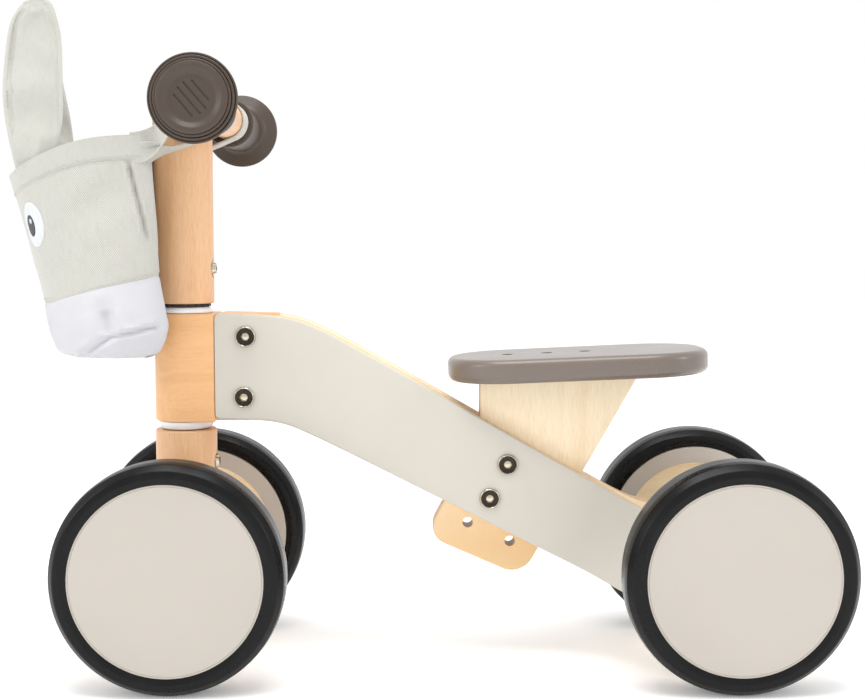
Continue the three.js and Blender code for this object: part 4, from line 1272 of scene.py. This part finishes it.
def ear_layers(place):
    """Points of the two layers of an ear: where each is, its place in the cloth, and whether it is sewn."""
    rows = list(ear_rows())
    tip = rows[-1][0]
    for layer in (1, -1):
        for left, right in rows:
            width = (right - left).length
            for distance in ear_columns(width):
                flat = left.lerp(right, distance / width) if width else left
                edge = min(distance, width - distance, (tip - flat).length)
                swell = limited((edge - EAR_SEAM) / EAR_SWELL)
                thick = min(edge, 0.5) + 1.5 * swell**2 * (3 - 2 * swell)
                point = place @ Vector((flat.x, layer * thick - ear_bow(flat), flat.y))
                yield point, (flat.x, flat.y), edge <= EAR_SEAM + 0.1 or flat.y < EAR_SEWN_BELOW


def ear_seams(place):
    """The lines of topstitching on both layers, just inside the edges."""
    for layer in (1, -1):
        for end in (0, 1):
            line = []
            for row in list(ear_rows())[8:-4]:
                flat = row[end] + (row[1 - end] - row[end]).normalized() * (EAR_SEAM + 0.2)
                line.append(place @ Vector((flat.x, layer * 0.62 - ear_bow(flat), flat.y)))
            yield line


def near_any(points, piece):
    """The numbers of a piece's vertices that lie on any of some points."""
    tree = KDTree(len(points))
    for index, point in enumerate(points):
        tree.insert(ORIGIN + point * MM, index)
    tree.balance()
    return [vertex.index for vertex in piece.data.vertices if tree.find(vertex.co)[2] < 10 * SAME_PLACE]


def ear(name):
    """Two layers of twill sewn together along their edges, with a little air between them."""
    place = ear_place(**EARS[name])
    vertices, uvs, sewn = zip(*ear_layers(place))
    across = len(ear_columns(1))
    layer = len(vertices) // 2
    faces = [(k, k + 1, layer + k + 1, layer + k) for k in range(across - 1)]
    for first in (0, layer):
        faces += sheet_faces(EAR_ROWS + 1, across, first)
    made = build(f"{name}_ear_fine", vertices, faces, [TWILL], None, uvs=uvs, sharp=SEWN_SHARP)
    inflated(made, near_any([point for point, is_sewn in zip(vertices, sewn) if is_sewn], made))
    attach(made, "steering")
    stand_in(f"{name}_ear", "twill")
    stitching(f"{name}_ear_stitching", list(ear_seams(place)), "steering", length=2.1, gap=0.9, radius=0.22)


for side_name in SIDES:
    ear(side_name)


# ---- Straps ----

STRAP_MIDDLE = middle("left_strap", "y")
STRAP_WIDTH = size("left_strap", "y")
STRAP_THICKNESS = 1.4


def strap_path():
    """The strap's centres and the directions of its width, from the bag's side round the bar and back."""
    radius = BAR_RADIUS + GAP + STRAP_THICKNESS / 2
    spread, across = STRAP_MIDDLE, (0, -1, 0)
    over = [
        ((23, 56.4, 346), (0.1, 0, 1)), ((17, 55.6, 347), (0.05, 0, 1)), ((11.5, 51.5, 350), (0.1, -0.25, 1)),
        ((7, 45, 356), (0.3, -0.6, 0.8)), ((1, 38.5, 365), (0.35, -0.9, 0.4)),
        ((-6, 34, 374.5), (0.15, -1, 0.12)), ((-14, spread + 0.6, 381), across),
    ]
    round_bar = []
    for angle in range(72, 250, 8):
        a = math.radians(angle)
        round_bar.append(((BAR_X + radius * math.cos(a), spread, BAR_Z + radius * math.sin(a)), across))
    back = [
        ((-17, spread + 0.3, 353.2), across), ((-4, spread + 2, 348.3), (0.1, -1, 0)),
        ((5, 38, 345.5), (0.4, -0.9, -0.2)), ((11, 45, 343.5), (0.35, -0.55, -0.5)),
        ((15, 52.5, 341), (0.1, -0.3, -0.8)), ((20, 55.8, 339), (0, 0, -1)),
    ]
    return over + round_bar + back


def strap_section():
    """Places round the strap's section, as (across, up) from -1 to 1, with thin edges and sewn grooves."""
    groove = 0.15 / (STRAP_THICKNESS / 2)
    half = [(0, 1), (0.4, 1), (0.8, 1 - groove), (0.97, 1), (1, 0.35)]
    upper = [(-share, thick) for share, thick in reversed(half[1:])] + half
    return upper + [(share, -thick) for share, thick in reversed(upper)]


def strap(name, side):
    centres, widths = zip(*strap_path())
    widths = [Vector(width).normalized() for width in widths]
    section, count = strap_section(), 6 * (len(centres) - 1)
    line = [open_curve(centres, step / count) for step in range(count + 1)]
    vertices, uvs = [], []
    length = 0
    for step, centre in enumerate(line):
        share = step / count
        ahead = open_curve(centres, min(1, share + 0.004)) - open_curve(centres, max(0, share - 0.004))
        width = open_curve(widths, share).normalized()
        face = ahead.cross(width).normalized()
        if step:
            length += (centre - line[step - 1]).length
        for across, up in section:
            wave = 0.25 * noise.noise(centre * 0.09 + Vector((across, 0, 0)))
            offset = across * STRAP_WIDTH / 2
            point = centre + width * offset + face * (up * STRAP_THICKNESS / 2 + wave)
            vertices.append((point.x, side * point.y, point.z))
            uvs.append((offset, length))
    faces = tube_faces(len(line), len(section))
    made = build(f"{name}_strap_fine", vertices, faces, [TWILL], "steering", uvs=uvs, sharp=CLOTH_SHARP)
    stand_in(f"{name}_strap", "twill")


for side_name, side_sign in SIDES.items():
    strap(side_name, side_sign)


# ---- Camera, light and floor ----

CAMERA = {"place": (-154.9, 920.8, 284.1), "yaw": 0.848, "pitch": 4.377, "lens_mm": 56.18, "sensor_mm": 36}
LIGHT_TARGET = (0, 0, 0.15)
LIGHTS = (                          # place, width and height in metres, and power in watts
    ("light_above", (0.1, 0.4, 1.8), 1.2, 0.9, 20),
    ("light_front", (1.8, 0.8, 0.9), 0.4, 0.9, 7),
    ("light_rear", (-1.9, 0.8, 0.85), 0.4, 0.9, 6),
)
FLOOR_HALF = 6


def facing(direction):
    """The rotation that points a camera or a lamp in a direction."""
    return direction.to_track_quat("-Z", "Y").to_euler()


def make_camera():
    """The view is from the rider's left, a little to the rear of the bike's middle and above it."""
    data = bpy.data.cameras.new("camera")
    data.sensor_width = CAMERA["sensor_mm"]
    data.lens = CAMERA["lens_mm"]
    camera = add_object("camera", data)
    camera.location = ORIGIN + Vector(CAMERA["place"]) * MM
    yaw, pitch = math.radians(CAMERA["yaw"]), math.radians(CAMERA["pitch"])
    level = math.cos(pitch)
    camera.rotation_euler = facing(Vector((-math.sin(yaw) * level, -math.cos(yaw) * level, -math.sin(pitch))))
    bpy.context.scene.camera = camera


def soft_light(name, place, width, height, power):
    """A lamp of a size in metres that is aimed at the bike."""
    data = bpy.data.lights.new(name, "AREA")
    data.shape = "RECTANGLE"
    data.size, data.size_y = width, height
    data.energy = power
    light = add_object(name, data)
    light.location = place
    light.rotation_euler = facing(Vector(LIGHT_TARGET) - Vector(place))


def floor_paper():
    """Pale paper that is lit a little from within, so that it stays near white."""
    paper = Recipe("floor_paper", roughness=0.9, Specular_IOR_Level=0.1)
    paper.colour(paper.ramp(paper.noise(paper.place(), 3), [(0.3, 0.93), (0.7, 0.95)]))
    paper.shader.inputs["Emission Color"].default_value = WHITE
    paper.shader.inputs["Emission Strength"].default_value = 0.14
    return paper.material


def studio():
    scene = bpy.context.scene
    scene.view_settings.view_transform = "Standard"
    scene.world = bpy.data.worlds.new("studio")
    scene.world.use_nodes = True
    background = scene.world.node_tree.nodes["Background"]
    background.inputs["Color"].default_value = WHITE
    background.inputs["Strength"].default_value = 1.0
    for name, place, width, height, power in LIGHTS:
        soft_light(name, place, width, height, power)
    mesh = bpy.data.meshes.new("floor")
    mesh.from_pydata([(x * FLOOR_HALF, y * FLOOR_HALF, 0) for x, y in RECTANGLE], [], [(0, 1, 2, 3)])
    mesh.materials.append(floor_paper())
    add_object("floor", mesh)


make_camera()
studio()


# ---- CAD nodes that keep their shape and get a finer surface ----

CAD_FINISHES = {
    "beech": BEECH, "birch": BIRCH, "wheel_wood": WHEEL_WOOD, "cream_paint": CREAM, "taupe_paint": TAUPE,
    "white_plastic": WHITE_PLASTIC, "black_plastic": BLACK_PLASTIC, "grip_rubber": GRIP, "tyre": TYRE,
    "black_nickel": NICKEL, "steel": STEEL, "twill": TWILL,
}
BRIGHT_BOLTS = ("upper_stem_bolt", "lower_stem_bolt")


def finish_cad_nodes():
    for entry in frame["record"]["subparts"]:
        node = frame["nodes"][entry["node"]]
        bright = entry["node"] in BRIGHT_BOLTS
        node.data.materials.clear()
        node.data.materials.append(BRIGHT if bright else CAD_FINISHES[entry["material_slot"]])
        smooth(node)


finish_cad_nodes()
